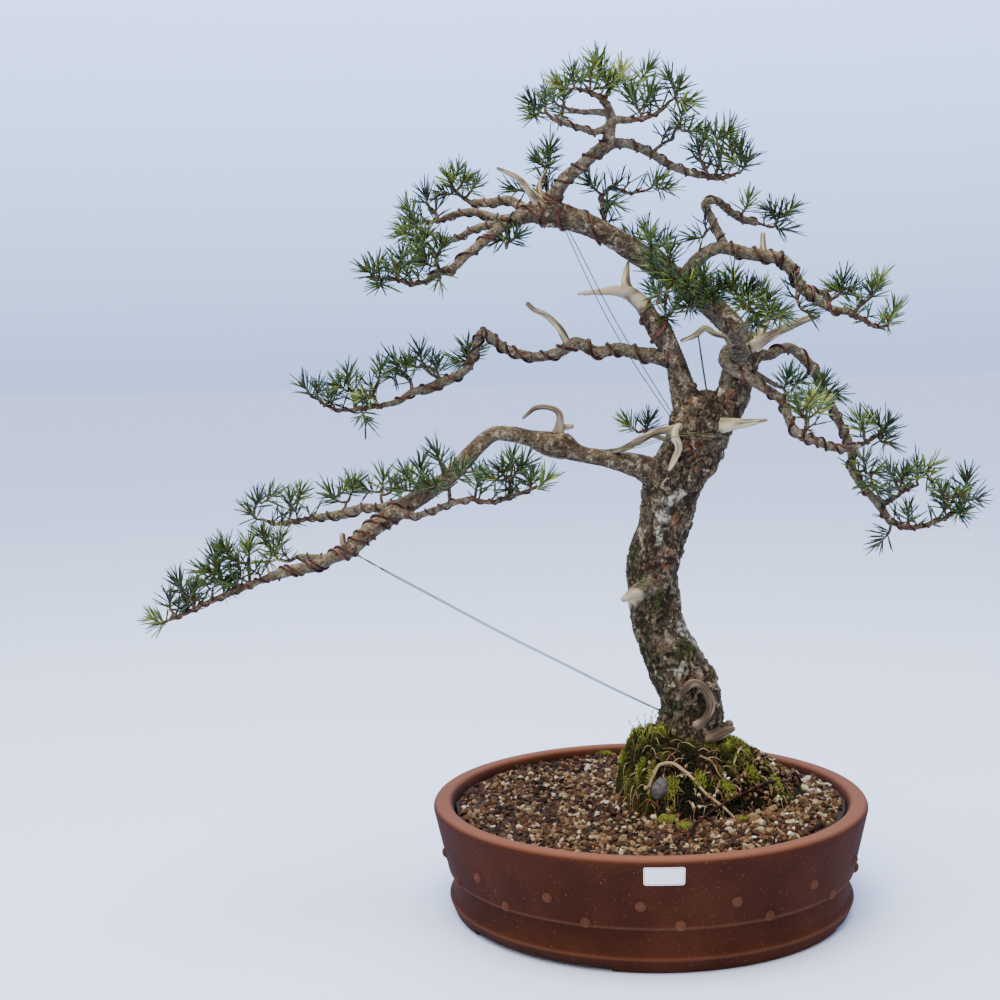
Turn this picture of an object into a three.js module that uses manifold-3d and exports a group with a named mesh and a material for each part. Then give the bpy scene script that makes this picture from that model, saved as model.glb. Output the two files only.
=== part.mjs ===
// A scots pine bonsai in a round stoneware drum pot, with its training wires and guy wires.
// Millimetres, +Z up, +X to the right and +Y away from the front. The origin is the middle of
// the pot's underside, at the height of the surface that the pot stands on.

import * as THREE from 'three';
import { mergeVertices } from 'three/addons/utils/BufferGeometryUtils.js';
import Module from 'manifold-3d';

const wasm = await Module();
wasm.setup();

// Driving dimensions.
const GAP = 0.35; // air between two pieces that touch on the real thing
const RIM_RADIUS = 219.4;
const RIM_HEIGHT = 111;
const WALL_FOOT_RADIUS = 205; // the wall just above the groove
const GROOVE_HEIGHT = 38.6;
const BASE_RADIUS = 199;
const FLOOR_THICKNESS = 20;
const CHANNEL_HEIGHT = 4; // the three shallow channels under the pot
const RIVETS_A_ROW = 15;
const RIVET_DIAMETER = 9.6;
const SOIL_EDGE_HEIGHT = 101;
const MOUND = { x: 48, y: -18, radiusX: 100, radiusY: 82, height: 172, leftCut: 0.2, shoulder: 24 };
const NEEDLE_LENGTH = 24;
const NEEDLE_BASE = 0.95; // radius of a shoot's core, whose small faces carry the needles
const NEEDLES_A_TUFT = 6;
const STEEL_RADIUS = 0.6;

// Sighting. A place on the tree is given as it is seen from in front: mm to the right and mm
// down on an upright square of 1000 mm through the pot's middle, and mm behind the pot's middle.
const EYE = new THREE.Vector3(-144.4, -1600, 557.6);
const SIGHT = 1600;
const PITCH = THREE.MathUtils.degToRad(5.1);
const ROLL = THREE.MathUtils.degToRad(-1.33);

function seen(right, down, back = 0) {
  const u = right - 500;
  const v = 500 - down;
  const across = Math.cos(ROLL) * u - Math.sin(ROLL) * v;
  const up = Math.sin(ROLL) * u + Math.cos(ROLL) * v;
  const ray = new THREE.Vector3(
    across,
    SIGHT * Math.cos(PITCH) + up * Math.sin(PITCH),
    -SIGHT * Math.sin(PITCH) + up * Math.cos(PITCH),
  );
  return EYE.clone().addScaledVector(ray, (back - EYE.y) / ray.y);
}

// A seeded draw, so that the same tree grows every time.
function seededDraw(seed) {
  let state = seed >>> 0;
  return () => {
    state = (state + 0x6d2b79f5) >>> 0;
    let t = Math.imul(state ^ (state >>> 15), 1 | state);
    t = (t + Math.imul(t ^ (t >>> 7), 61 | t)) ^ t;
    return ((t ^ (t >>> 14)) >>> 0) / 4294967296;
  };
}

// Solids
function solidOf(geometry) {
  const plain = geometry.index ? geometry.clone() : geometry;
  plain.deleteAttribute('normal');
  plain.deleteAttribute('uv');
  const merged = mergeVertices(plain, 1e-4);
  return new wasm.Manifold(new wasm.Mesh({
    numProp: 3,
    vertProperties: new Float32Array(merged.attributes.position.array),
    triVerts: new Uint32Array(merged.index.array),
  }));
}

function geometryOf(solid) {
  const mesh = solid.getMesh();
  const geometry = new THREE.BufferGeometry();
  geometry.setAttribute('position', new THREE.BufferAttribute(mesh.vertProperties, 3));
  geometry.setIndex(new THREE.BufferAttribute(mesh.triVerts, 1));
  return geometry;
}

function facetGeometry(points, triangles) {
  const geometry = new THREE.BufferGeometry();
  const numbers = points.flatMap((p) => [p.x, p.y, p.z]);
  geometry.setAttribute('position', new THREE.Float32BufferAttribute(numbers, 3));
  geometry.setIndex(triangles.flat());
  return geometry;
}

function joined(solids) {
  let layer = solids;
  while (layer.length > 1) {
    const next = [];
    for (let i = 0; i < layer.length; i += 2) {
      next.push(i + 1 < layer.length ? layer[i].add(layer[i + 1]) : layer[i]);
    }
    layer = next;
  }
  return layer[0];
}

// Rings of corners carried along a route without twist; each lies in its bend's mitre plane.
function ringFrames(points) {
  const frames = [];
  let side = null;
  for (let i = 0; i < points.length; i += 1) {
    const before = points[Math.max(i - 1, 0)];
    const after = points[Math.min(i + 1, points.length - 1)];
    const inward = points[i].clone().sub(before);
    const outward = after.clone().sub(points[i]);
    const along = new THREE.Vector3();
    if (inward.lengthSq() > 0) along.add(inward.normalize());
    if (outward.lengthSq() > 0) along.add(outward.normalize());
    along.normalize();
    if (side === null) {
      side = new THREE.Vector3(0, 1, 0);
      if (Math.abs(along.y) > 0.8) side.set(0, 0, 1);
    }
    side = side.clone().addScaledVector(along, -side.dot(along)).normalize();
    frames.push({ along, side, other: along.clone().cross(side) });
  }
  return frames;
}

// A tapered stem with flat ends. relief(angle, distance) returns mm added to the radius.
function stemGeometry(points, radii, sides, relief = null) {
  const frames = ringFrames(points);
  const corners = [];
  const triangles = [];
  let distance = 0;
  for (let i = 0; i < points.length; i += 1) {
    if (i > 0) distance += points[i].distanceTo(points[i - 1]);
    for (let k = 0; k < sides; k += 1) {
      const angle = (2 * Math.PI * k) / sides;
      const radius = radii[i] + (relief ? relief(angle, distance) : 0);
      corners.push(points[i].clone()
        .addScaledVector(frames[i].side, radius * Math.cos(angle))
        .addScaledVector(frames[i].other, radius * Math.sin(angle)));
    }
  }
  for (let i = 0; i + 1 < points.length; i += 1) {
    for (let k = 0; k < sides; k += 1) {
      const a = i * sides + k;
      const b = i * sides + ((k + 1) % sides);
      triangles.push([a, b, b + sides], [a, b + sides, a + sides]);
    }
  }
  const last = (points.length - 1) * sides;
  for (let k = 1; k + 1 < sides; k += 1) {
    triangles.push([0, k + 1, k], [last, last + k, last + k + 1]);
  }
  return facetGeometry(corners, triangles);
}

// A stem whose sharp elbows are two stems joined, so that no ring folds over its neighbour.
const ELBOW = Math.cos(THREE.MathUtils.degToRad(62));

function stemSolid(points, radii, sides, relief = null) {
  const pieces = [];
  let start = 0;
  for (let i = 1; i < points.length; i += 1) {
    const isLast = i === points.length - 1;
    const turn = isLast ? 1 : points[i].clone().sub(points[i - 1]).normalize()
      .dot(points[i + 1].clone().sub(points[i]).normalize());
    if (!isLast && turn > ELBOW) continue;
    const part = points.slice(start, i + 1).map((p) => p.clone());
    const size = radii.slice(start, i + 1);
    if (!isLast) {
      const reach = part[part.length - 1].clone().sub(part[part.length - 2]).normalize();
      part[part.length - 1].addScaledVector(reach, size[size.length - 1] * 0.6);
    }
    if (start > 0) {
      const reach = part[0].clone().sub(part[1]).normalize();
      part[0].addScaledVector(reach, size[0] * 0.6);
    }
    pieces.push(solidOf(stemGeometry(part, size, sides, relief)));
    start = i;
  }
  return joined(pieces);
}

// Distances, which keep wires and needles clear of what they pass
function nearest(p1, q1, p2, q2) {
  const d1 = q1.clone().sub(p1);
  const d2 = q2.clone().sub(p2);
  const r = p1.clone().sub(p2);
  const a = d1.dot(d1);
  const e = d2.dot(d2);
  const f = d2.dot(r);
  const c = d1.dot(r);
  const b = d1.dot(d2);
  const denominator = a * e - b * b;
  let s = denominator > 1e-9 ? THREE.MathUtils.clamp((b * f - c * e) / denominator, 0, 1) : 0;
  let t = (b * s + f) / e;
  if (t < 0) {
    t = 0;
    s = THREE.MathUtils.clamp(-c / a, 0, 1);
  } else if (t > 1) {
    t = 1;
    s = THREE.MathUtils.clamp((b - c) / a, 0, 1);
  }
  const gap = p1.clone().addScaledVector(d1, s).distanceTo(p2.clone().addScaledVector(d2, t));
  return { gap, s, t };
}

const taken = []; // every stem, wire and needle so far: two ends, two radii, and its owner

function take(points, radii, owner) {
  for (let i = 0; i + 1 < points.length; i += 1) {
    const a = points[i];
    const b = points[i + 1];
    taken.push({
      a, b, ra: radii[i], rb: radii[i + 1], owner,
      middle: a.clone().add(b).multiplyScalar(0.5),
      reach: a.distanceTo(b) / 2 + Math.max(radii[i], radii[i + 1]),
    });
  }
}

// The narrowest air between a tapered straight piece and everything taken by other owners.
function clearance(a, b, ra, rb, owner) {
  const middle = a.clone().add(b).multiplyScalar(0.5);
  const reach = a.distanceTo(b) / 2 + Math.max(ra, rb);
  let least = Infinity;
  for (const other of taken) {
    if (other.owner === owner) continue;
    if (middle.distanceTo(other.middle) - reach - other.reach > Math.min(least, 3)) continue;
    const { gap, s, t } = nearest(a, b, other.a, other.b);
    const air = gap - (ra + (rb - ra) * s) - (other.ra + (other.rb - other.ra) * t);
    if (air < least) least = air;
  }
  return least;
}

// Pot
const GROOVE_STEP = 4; // the wall steps out over this height above the groove
const RIM_ROUND = 5; // the rim's outer edge is rounded from here up
const LIP_WIDTH = 16;
const SOIL_RADIUS_TOP = 198.6; // the pot's inside, at the rim and at its floor
const SOIL_RADIUS_FOOT = 188;
const DRAIN_HOLE = { radius: 17, far: 115 };
const CHANNEL = { first: -128.8, halfWidth: 23.5, innerRadius: 70 };

function potRadiusAt(z) {
  const foot = GROOVE_HEIGHT + GROOVE_STEP;
  const share = THREE.MathUtils.clamp((z - foot) / (RIM_HEIGHT - RIM_ROUND - foot), 0, 1);
  return THREE.MathUtils.lerp(WALL_FOOT_RADIUS, RIM_RADIUS, share);
}

function potSolid() {
  const profile = [
    [0, 0], [BASE_RADIUS, 0], [BASE_RADIUS + 5, 15], [BASE_RADIUS + 2.2, 20],
    [BASE_RADIUS + 2, GROOVE_HEIGHT], [WALL_FOOT_RADIUS, GROOVE_HEIGHT + GROOVE_STEP],
    [RIM_RADIUS, RIM_HEIGHT - RIM_ROUND], [RIM_RADIUS - 3, RIM_HEIGHT - 0.5],
    [RIM_RADIUS - LIP_WIDTH, RIM_HEIGHT],
    [SOIL_RADIUS_TOP + GAP, RIM_HEIGHT - RIM_ROUND], [SOIL_RADIUS_FOOT + GAP, FLOOR_THICKNESS],
    [0, FLOOR_THICKNESS],
  ].map(([r, z]) => new THREE.Vector2(r, z));
  const drum = new THREE.LatheGeometry(profile, RIVETS_A_ROW * 3);
  drum.rotateX(Math.PI / 2);
  let pot = solidOf(drum);

  const rows = [{ height: 66, first: -31.4 }, { height: 46.5, first: -21.6 }];
  for (const row of rows) {
    for (let k = 0; k < RIVETS_A_ROW; k += 1) {
      const angle = THREE.MathUtils.degToRad(row.first + (k * 360) / RIVETS_A_ROW);
      const rivet = new THREE.CylinderGeometry(RIVET_DIAMETER * 0.27, RIVET_DIAMETER / 2, 5, 5);
      rivet.rotateX(Math.PI);
      rivet.translate(0, -(potRadiusAt(row.height) + 0.3), row.height);
      rivet.rotateZ(angle);
      pot = pot.add(solidOf(rivet));
    }
  }

  for (let k = 0; k < 3; k += 1) {
    const middle = THREE.MathUtils.degToRad(CHANNEL.first + 120 * k);
    const half = THREE.MathUtils.degToRad(CHANNEL.halfWidth);
    const wedge = new THREE.Shape();
    wedge.absarc(0, 0, BASE_RADIUS + 20, middle - half, middle + half, false);
    wedge.absarc(0, 0, CHANNEL.innerRadius, middle + half, middle - half, true);
    const channel = new THREE.ExtrudeGeometry(wedge, {
      depth: CHANNEL_HEIGHT + 5, bevelEnabled: false, curveSegments: 2,
    });
    channel.translate(0, 0, -5);
    pot = pot.subtract(solidOf(channel));
    const { radius, far } = DRAIN_HOLE;
    const hole = new THREE.CylinderGeometry(radius, radius, 3 * FLOOR_THICKNESS, 8);
    hole.rotateX(Math.PI / 2);
    hole.translate(far * Math.cos(middle), far * Math.sin(middle), FLOOR_THICKNESS / 2);
    pot = pot.subtract(solidOf(hole));
  }
  return pot;
}

// The blank paper label, bent to the pot's wall.
function labelSolid() {
  const size = { width: 37, height: 18, thickness: 0.6, middle: 95.8, turn: -1.7 };
  const columns = 6;
  const corners = [];
  for (let i = 0; i <= columns; i += 1) {
    for (const z of [size.middle - size.height / 2, size.middle + size.height / 2]) {
      for (const skin of [GAP, GAP + size.thickness]) {
        const radius = potRadiusAt(z) + skin;
        const angle = (i / columns - 0.5) * (size.width / potRadiusAt(size.middle))
          + THREE.MathUtils.degToRad(size.turn - 90);
        corners.push(new THREE.Vector3(radius * Math.cos(angle), radius * Math.sin(angle), z));
      }
    }
  }
  const triangles = [[0, 1, 3], [0, 3, 2]];
  for (let i = 0; i < columns; i += 1) {
    const a = i * 4;
    for (const [p, q] of [[0, 2], [2, 3], [3, 1], [1, 0]]) {
      triangles.push([a + p, a + q, a + 4 + q], [a + p, a + 4 + q, a + 4 + p]);
    }
  }
  const z = columns * 4;
  triangles.push([z, z + 3, z + 1], [z, z + 2, z + 3]);
  return solidOf(facetGeometry(corners, triangles));
}

// Ground: the gravel and the moss mound share one fan of grid lines about the mound's middle.
const GROUND_SIDES = 25;
const MOSS_RINGS = [0.3, 0.55, 0.8, 1];
const GRAVEL_RINGS = [0.16, 0.34, 0.52, 0.7, 0.86, 1];

function gravelHeight(x, y) {
  const far = Math.hypot(x - MOUND.x, y - MOUND.y);
  return SOIL_EDGE_HEIGHT + 17 * Math.exp(-((far / 115) ** 2));
}

// From 0 to 1: how near an angle about the mound's middle is to its left side, which is steep and
// stands high beside the trunk.
function leftness(angle) {
  const away = Math.PI - Math.abs(Math.atan2(Math.sin(angle), Math.cos(angle)));
  return Math.exp(-((away / 0.85) ** 2));
}

// The mound's left share, and how far out a place is: 0 in its middle, 1 at its edge.
function moundPlace(x, y) {
  const across = (x - MOUND.x) / MOUND.radiusX;
  const behind = (y - MOUND.y) / MOUND.radiusY;
  const left = leftness(Math.atan2(behind, across));
  return { left, share: Math.hypot(across, behind) / (1 - MOUND.leftCut * left) };
}

function mossHeight(x, y) {
  const { left, share } = moundPlace(x, y);
  const dome = Math.max(0, 1 - share ** (2.2 + 4 * left)) ** (0.85 - 0.25 * left);
  const rise = THREE.MathUtils.smoothstep(share, 0.1, 0.6) * Math.max(0, 1 - share ** 8);
  return gravelHeight(x, y) + 3 + MOUND.shoulder * left * rise
    + (MOUND.height - gravelHeight(MOUND.x, MOUND.y) - 3) * dome;
}

function groundHeight(x, y) {
  return moundPlace(x, y).share < 1 ? mossHeight(x, y) : gravelHeight(x, y);
}

// Where a sight line meets the ground, lifted by so much.
function seenOnGround(right, down, lift) {
  let back = -230;
  let point = seen(right, down, back);
  while (back < 200 && point.z > groundHeight(point.x, point.y) + lift) {
    back += 0.5;
    point = seen(right, down, back);
  }
  return point;
}

function mossEdge(k) {
  const angle = (2 * Math.PI * k) / GROUND_SIDES;
  const wobble = 1 + 0.05 * Math.sin(3 * angle + 1) + 0.04 * Math.sin(7 * angle)
    - MOUND.leftCut * leftness(angle);
  return new THREE.Vector2(
    MOUND.x + MOUND.radiusX * wobble * Math.cos(angle),
    MOUND.y + MOUND.radiusY * wobble * Math.sin(angle),
  );
}

function wallEdge(k, radius) {
  const angle = (2 * Math.PI * k) / GROUND_SIDES;
  const dx = Math.cos(angle);
  const dy = Math.sin(angle);
  const b = MOUND.x * dx + MOUND.y * dy;
  const c = MOUND.x ** 2 + MOUND.y ** 2 - radius ** 2;
  const reach = -b + Math.sqrt(b * b - c);
  return new THREE.Vector2(MOUND.x + reach * dx, MOUND.y + reach * dy);
}

function ringOf(edgeA, edgeB, share) {
  return Array.from({ length: GROUND_SIDES }, (_, k) => edgeA(k).lerp(edgeB(k), share));
}

const moundMiddle = () => new THREE.Vector2(MOUND.x, MOUND.y);

// Closes a stack of rings, from the one about the top middle to the one about the bottom middle.
function stackSolid(top, rings, bottom) {
  const corners = [top, ...rings.flat(), bottom];
  const triangles = [];
  const n = GROUND_SIDES;
  const lastRing = 1 + (rings.length - 1) * n;
  for (let k = 0; k < n; k += 1) {
    const next = (k + 1) % n;
    triangles.push([0, 1 + k, 1 + next], [corners.length - 1, lastRing + next, lastRing + k]);
    for (let i = 0; i + 1 < rings.length; i += 1) {
      const a = 1 + i * n;
      const b = a + n;
      triangles.push([a + k, b + k, b + next], [a + k, b + next, a + next]);
    }
  }
  return solidOf(facetGeometry(corners, triangles));
}

const at = (p, z) => new THREE.Vector3(p.x, p.y, z);

function gravelSolid(cutters) {
  const draw = seededDraw(11);
  const under = MOSS_RINGS.filter((s) => s > 0.5).map((share) => ringOf(moundMiddle, mossEdge, share)
    .map((p) => at(p, gravelHeight(p.x, p.y))));
  const wallTop = (k) => wallEdge(k, SOIL_RADIUS_TOP - 1.1);
  const open = GRAVEL_RINGS.map((share) => ringOf(mossEdge, wallTop, share).map((p) => {
    const grain = share < 1 ? 3.2 * (draw() - 0.5) : 0;
    return at(p, gravelHeight(p.x, p.y) + grain);
  }));
  const floor = Array.from({ length: GROUND_SIDES }, (_, k) => at(
    wallEdge(k, SOIL_RADIUS_FOOT - 0.6), FLOOR_THICKNESS + GAP));
  const top = new THREE.Vector3(MOUND.x, MOUND.y, gravelHeight(MOUND.x, MOUND.y));
  const bottom = new THREE.Vector3(0, 0, FLOOR_THICKNESS + GAP);
  let gravel = stackSolid(top, [...under, ...open, floor], bottom);
  for (const cutter of cutters) gravel = gravel.subtract(cutter);
  return largest(gravel);
}

function mossSolid(cutters) {
  const draw = seededDraw(5);
  const upper = MOSS_RINGS.map((share) => ringOf(moundMiddle, mossEdge, share).map((p) => {
    const tuft = share < 1 ? 4 * (draw() - 0.5) : 0;
    const height = share < 1 ? mossHeight(p.x, p.y) : gravelHeight(p.x, p.y) + 3;
    return at(p, height + tuft);
  }));
  const lower = MOSS_RINGS.filter((s) => s > 0.5).reverse().map((share) => (
    ringOf(moundMiddle, mossEdge, share).map((p) => at(p, gravelHeight(p.x, p.y) + GAP))));
  const top = new THREE.Vector3(MOUND.x, MOUND.y, MOUND.height);
  const bottom = new THREE.Vector3(MOUND.x, MOUND.y, gravelHeight(MOUND.x, MOUND.y) + GAP);
  let moss = stackSolid(top, [...upper, ...lower], bottom);
  for (const cutter of cutters) moss = moss.subtract(cutter);
  return largest(moss);
}

function largest(solid) {
  const pieces = solid.decompose();
  return pieces.reduce((best, piece) => (piece.volume() > best.volume() ? piece : best));
}

// Stone on the front of the mound
function stoneGeometry(grow) {
  const stone = new THREE.IcosahedronGeometry(1, 1);
  stone.scale(9 + grow, 8 + grow, 11 + grow);
  stone.rotateY(0.3);
  const seat = seenOnGround(661, 789, 2);
  stone.translate(seat.x, seat.y, seat.z);
  return stone;
}

// Wood. Each row of a route is: mm right, mm down, mm behind, radius.
const WOOD = {
  trunk: { sides: 10, bark: 1.1, route: [
    [690, 795, 0, 29], [690, 762, 0, 37], [689.5, 738, 0, 36], [689.5, 726, 0, 33.5], [693, 710, 0, 31],
    [689, 690, 1, 30.5], [679.5, 670, 2, 30], [668.5, 650, 3, 28.5], [660, 630, 4, 27.5],
    [655, 610, 4, 26.5], [652.7, 590, 4, 27], [653, 570, 4, 27], [657, 550, 3, 27], [662.5, 530, 2, 26],
    [666.5, 510, 1, 27], [671, 490, 0, 28.5], [680, 470, 0, 29], [692, 450, 0, 31], [698, 432, 0, 32],
    [703, 415, 0, 30], [706, 402, 0, 22],
  ] },
  leftLeader: { sides: 6, bark: 0.7, route: [
    [702, 432, 0, 24], [690, 408, 3, 17.5], [682, 388, 4, 13], [677, 367, 4, 11], [669, 347, 3, 10.5],
    [660, 331, 2, 12], [651, 319, 0, 9.5], [645, 308, 0, 8.5], [632, 295, 0, 7.5], [618, 291, -6, 5.5],
    [598, 292, -12, 3.4], [578, 294, -18, 1.5],
  ] },
  leftLeaderJin: { sides: 4, route: [
    [636, 298, 0, 6], [626, 286, 3, 5], [626, 275, 8, 3.6], [628, 262, 14, 1.5],
  ] },
  rightLeader: { sides: 6, bark: 0.7, route: [
    [706, 430, 0, 24], [723, 412, 0, 19], [733, 395, 0, 17], [738, 376, 0, 17], [744, 357, 0, 17],
    [749, 344, -3, 13], [752, 335, -5, 8],
  ] },
  upperLimb: { sides: 5, bark: 0.5, route: [
    [742, 362, 9, 13], [740, 342, 22, 13], [732, 327, 33, 13], [701, 297, 38, 12],
    [671, 275, 28, 12], [640, 255, 15, 12], [610, 236, 4, 11],
    [580, 222, 0, 11.5], [561, 216, 0, 13], [545, 212, 0, 14.5], [529, 214, -2, 9.5], [515, 219, -4, 7.5],
    [503, 226, -9, 5.8], [490, 236, -15, 5.2], [477, 247, -21, 5], [465, 256, -27, 4.6],
    [453, 268, -33, 4.5], [439, 273, -39, 4], [427, 281, -45, 3.4],
  ] },
  limb1: { sides: 5, bark: 0.4, route: [
    [676, 486, 0, 17], [656, 474, -2, 15], [634, 465, -6, 12], [608, 459, -14, 9],
    [578, 453, -18, 9], [562, 446, -21, 13.5], [546, 443, -24, 12], [530, 438, -27, 8.5],
    [510, 434, -30, 8], [494, 434, -33, 7.5], [480, 444, -38, 8], [467, 458, -42, 8.5],
    [448, 478, -48, 8], [423, 495, -54, 8.8], [398, 511, -60, 9.5],
    [380, 523, -64, 9], [364, 536, -70, 8.5], [350, 549, -75, 8], [333, 557, -80, 6.5],
    [314, 566, -84, 6], [293, 570, -87, 5.5], [270, 577, -90, 5],
  ] },
  limb1Second: { sides: 4, route: [
    [338, 556, -75, 5], [324, 558, -66, 3.8], [309, 557, -57, 3.4], [297, 557, -51, 2.8],
  ] },
  limb1Upper: { sides: 4, route: [
    [412, 502, -51, 5.5], [397, 504, -39, 5], [381, 508, -27, 4.8], [362, 508, -15, 4.6],
    [345, 514, -4, 5.4], [329, 516, 4, 4.4], [314, 518, 12, 4],
  ] },
  limb1Return: { sides: 4, route: [
    [400, 512, -63, 6], [414, 516, -81, 3.6], [432, 511, -93, 3.4], [453, 503, -105, 3.2],
    [470, 499, -114, 3],
  ] },
  limb1Hook: { sides: 4, route: [
    [556, 438, -21, 7], [560, 424, -22, 4.5], [559, 413, -24, 3.6], [549, 408, -26, 3],
    [536, 408, -27, 2.8],
    [523, 418, -30, 1.8],
  ] },
  limb1HookStub: { sides: 4, route: [[560, 428, -21, 3.4], [573, 426, -24, 2.4]] },
  limb1Stub: { sides: 4, route: [[348, 553, -75, 4], [343, 543, -75, 3.2], [342, 534, -75, 2.6]] },
  limb1DeadTwig: { sides: 4, route: [
    [680, 429, -18, 4.4], [656, 432, -27, 3.8], [640, 440, -26, 3.6], [625, 448, -21, 3.2],
    [601, 453, -12, 2],
  ] },
  branch2: { sides: 4, bark: 0.3, route: [
    [676, 362, 0, 9.5], [655, 356, 3, 8], [636, 353, 9, 7], [618, 349, 15, 6.5], [597, 352, 21, 6],
    [576, 343, 27, 6.5], [559, 352, 33, 6], [538, 357, 39, 5.2], [520, 354, 44, 5], [504, 348, 48, 5],
    [482, 333, 54, 5], [475, 352, 58, 4.8], [468, 367, 60, 4.6], [455, 377, 62, 5], [440, 383, 63, 5.5],
    [428, 389, 63, 5.5], [413, 392, 64, 4], [397, 402, 66, 3.6], [383, 405, 66, 3.4],
  ] },
  branch2Jin: { sides: 4, route: [
    [569, 347, 30, 5], [558, 327, 27, 3.4], [545, 315, 24, 3], [533, 309, 21, 2.6], [527, 303, 20, 2.2],
  ] },
  knotJinLeft: { sides: 4, route: [
    [543, 208, -3, 8], [533, 196, -8, 4.6], [519, 179, -12, 3], [497, 168, -15, 1.3],
  ] },
  knotJinUpright: { sides: 4, route: [[545, 204, 6, 6], [539, 190, 12, 3.6], [547, 169, 16, 1.4]] },
  upperMiddle: { sides: 4, route: [
    [514, 220, -2, 6.4], [498, 219, 12, 5], [485, 215, 22, 4.5], [472, 212, 30, 4.2], [457, 214, 38, 4],
    [443, 219, 44, 3.6],
  ] },
  upperLow: { sides: 4, route: [
    [500, 226, -6, 5], [485, 226, 8, 4.2], [470, 231, 14, 3.8], [458, 238, 16, 3.6], [444, 239, 18, 3.4],
    [431, 233, 18, 2.8],
  ] },
  upperTop: { sides: 4, route: [
    [530, 213, 3, 7.5], [520, 206, 14, 5.5], [508, 200, 22, 5], [496, 202, 30, 4.8], [484, 203, 38, 4.6],
    [472, 203, 44, 4],
  ] },
  apexStem: { sides: 5, bark: 0.3, route: [
    [546, 210, 0, 11], [556, 193, -6, 7.5], [566, 178, -12, 7], [580, 167, -16, 6.5], [594, 154, -21, 6.5],
    [607, 144, -26, 7.5], [610, 130, -28, 5.5], [611, 117, -32, 5], [606, 103, -36, 4.2],
  ] },
  apexLeft: { sides: 4, route: [
    [609, 127, -28, 4.4], [594, 132, -36, 3.6], [578, 127, -44, 3.2], [564, 123, -50, 3],
    [552, 118, -54, 2.6],
  ] },
  apexBack: { sides: 4, route: [
    [610, 114, -32, 4.2], [596, 112, -16, 3.4], [582, 112, -4, 3], [570, 110, 4, 2.6],
  ] },
  apexRight: { sides: 4, route: [
    [610, 119, -30, 4.4], [621, 120, -36, 3.8], [632, 120, -39, 3.4],
  ] },
  crownLimb: { sides: 4, route: [
    [606, 145, -24, 6.5], [622, 143, -18, 5], [638, 147, -14, 4.7], [652, 154, -9, 4.6],
    [666, 163, -4, 4.4],
    [682, 170, 0, 4.2], [700, 175, 4, 4],
  ] },
  rightBranch: { sides: 4, bark: 0.3, route: [
    [682, 284, 30, 10], [692, 268, 22, 8.5], [703, 255, 16, 7], [718, 248, 12, 6.5], [734, 250, 8, 6.5],
    [750, 254, 3, 6.5], [766, 256, 0, 6.5], [782, 260, -4, 6.5], [793, 272, -9, 6], [801, 287, -14, 5.5],
    [815, 298, -18, 5], [832, 309, -22, 4], [848, 312, -27, 3.6],
  ] },
  rightBranchStub: { sides: 4, route: [[763, 256, 0, 4.4], [763, 243, 0, 3.2], [763, 233, 0, 2.6]] },
  rightBranchPair: { sides: 4, route: [[805, 290, -15, 4.4], [819, 292, 0, 3.2], [832, 299, 12, 2.7]] },
  rightBranchUpper: { sides: 4, route: [
    [725, 249, 12, 5.8], [718, 232, 27, 4.8], [710, 216, 36, 4.6], [705, 204, 42, 4.5], [716, 200, 48, 4.3],
    [728, 210, 54, 4.2], [742, 219, 60, 4.2], [757, 223, 66, 4],
  ] },
  frontTwigs: { sides: 5, route: [
    [742, 356, -12, 9], [735, 338, -39, 5.4], [722, 324, -57, 4.4], [711, 311, -69, 3.8],
  ] },
  paleTwig: { sides: 4, route: [
    [745, 347, -4, 8], [728, 337, -8, 3.6], [714, 333, -10, 3.2], [705, 328, -11, 3], [697, 334, -12, 3],
    [681, 341, -14, 1.8],
  ] },
  frontTwigsRight: { sides: 4, route: [[736, 341, -38, 5], [744, 329, -57, 4.2], [750, 320, -72, 3.6]] },
  spike: { sides: 4, route: [
    [708, 428, -14, 13], [727, 425, -28, 7.5], [745, 423, -34, 5], [767, 420, -40, 1.6],
  ] },
  strip: { sides: 4, route: [
    [679, 398, -6, 5.5], [675, 423, -30, 4.4], [676, 445, -36, 4.4], [676, 460, -34, 3.6],
    [668, 475, -30, 1.6],
  ] },
  rightJin: { sides: 4, route: [
    [746, 350, -6, 10], [768, 337, -12, 5.5], [790, 326, -18, 4], [819, 315, -24, 2.6],
  ] },
  rightJinUpright: { sides: 4, route: [[756, 342, -3, 6], [768, 318, 8, 3.6], [775, 297, 14, 1.5]] },
  fallingBranch: { sides: 4, bark: 0.3, route: [
    [742, 352, -12, 10], [726, 353, -30, 6.4], [724, 362, -36, 5.6], [732, 369, -40, 5.5],
    [745, 375, -46, 5.5],
    [758, 384, -52, 5.2], [771, 392, -58, 5], [783, 402, -63, 5], [787, 414, -66, 4.7],
    [793, 428, -69, 4.5],
    [803, 437, -72, 4.8], [817, 441, -75, 4.3], [830, 447, -75, 3.7], [846, 449, -75, 3.4],
    [860, 445, -75, 3.2],
  ] },
  outerBranch: { sides: 4, bark: 0.3, route: [
    [744, 358, 9, 11], [758, 355, 14, 6.6], [770, 355, 16, 5.6], [780, 349, 20, 5.5], [790, 348, 21, 5.5],
    [802, 357, 22, 5.5], [812, 368, 22, 5.4], [820, 382, 22, 5], [826, 397, 21, 4.8], [834, 411, 20, 4.7],
    [841, 426, 16, 4.6], [848, 441, 14, 4.6], [852, 456, 9, 4.6], [852, 468, 4, 4.4], [858, 480, 0, 4.3],
    [869, 493, -3, 4.3], [881, 508, -4, 4.2], [890, 521, -6, 4],
  ] },
  thirdTwig: { sides: 4, route: [[748, 372, 12, 6], [763, 378, 30, 3.2], [777, 386, 42, 2.7]] },
  backTwig: { sides: 4, route: [[688, 446, 14, 9], [668, 440, 52, 3.4], [652, 435, 81, 2.6]] },
  trunkStub: { sides: 5, route: [[658, 583, -12, 11], [640, 590, -26, 7.5], [622, 600, -34, 3]] },
  baseLoop: { sides: 5, route: [
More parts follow.
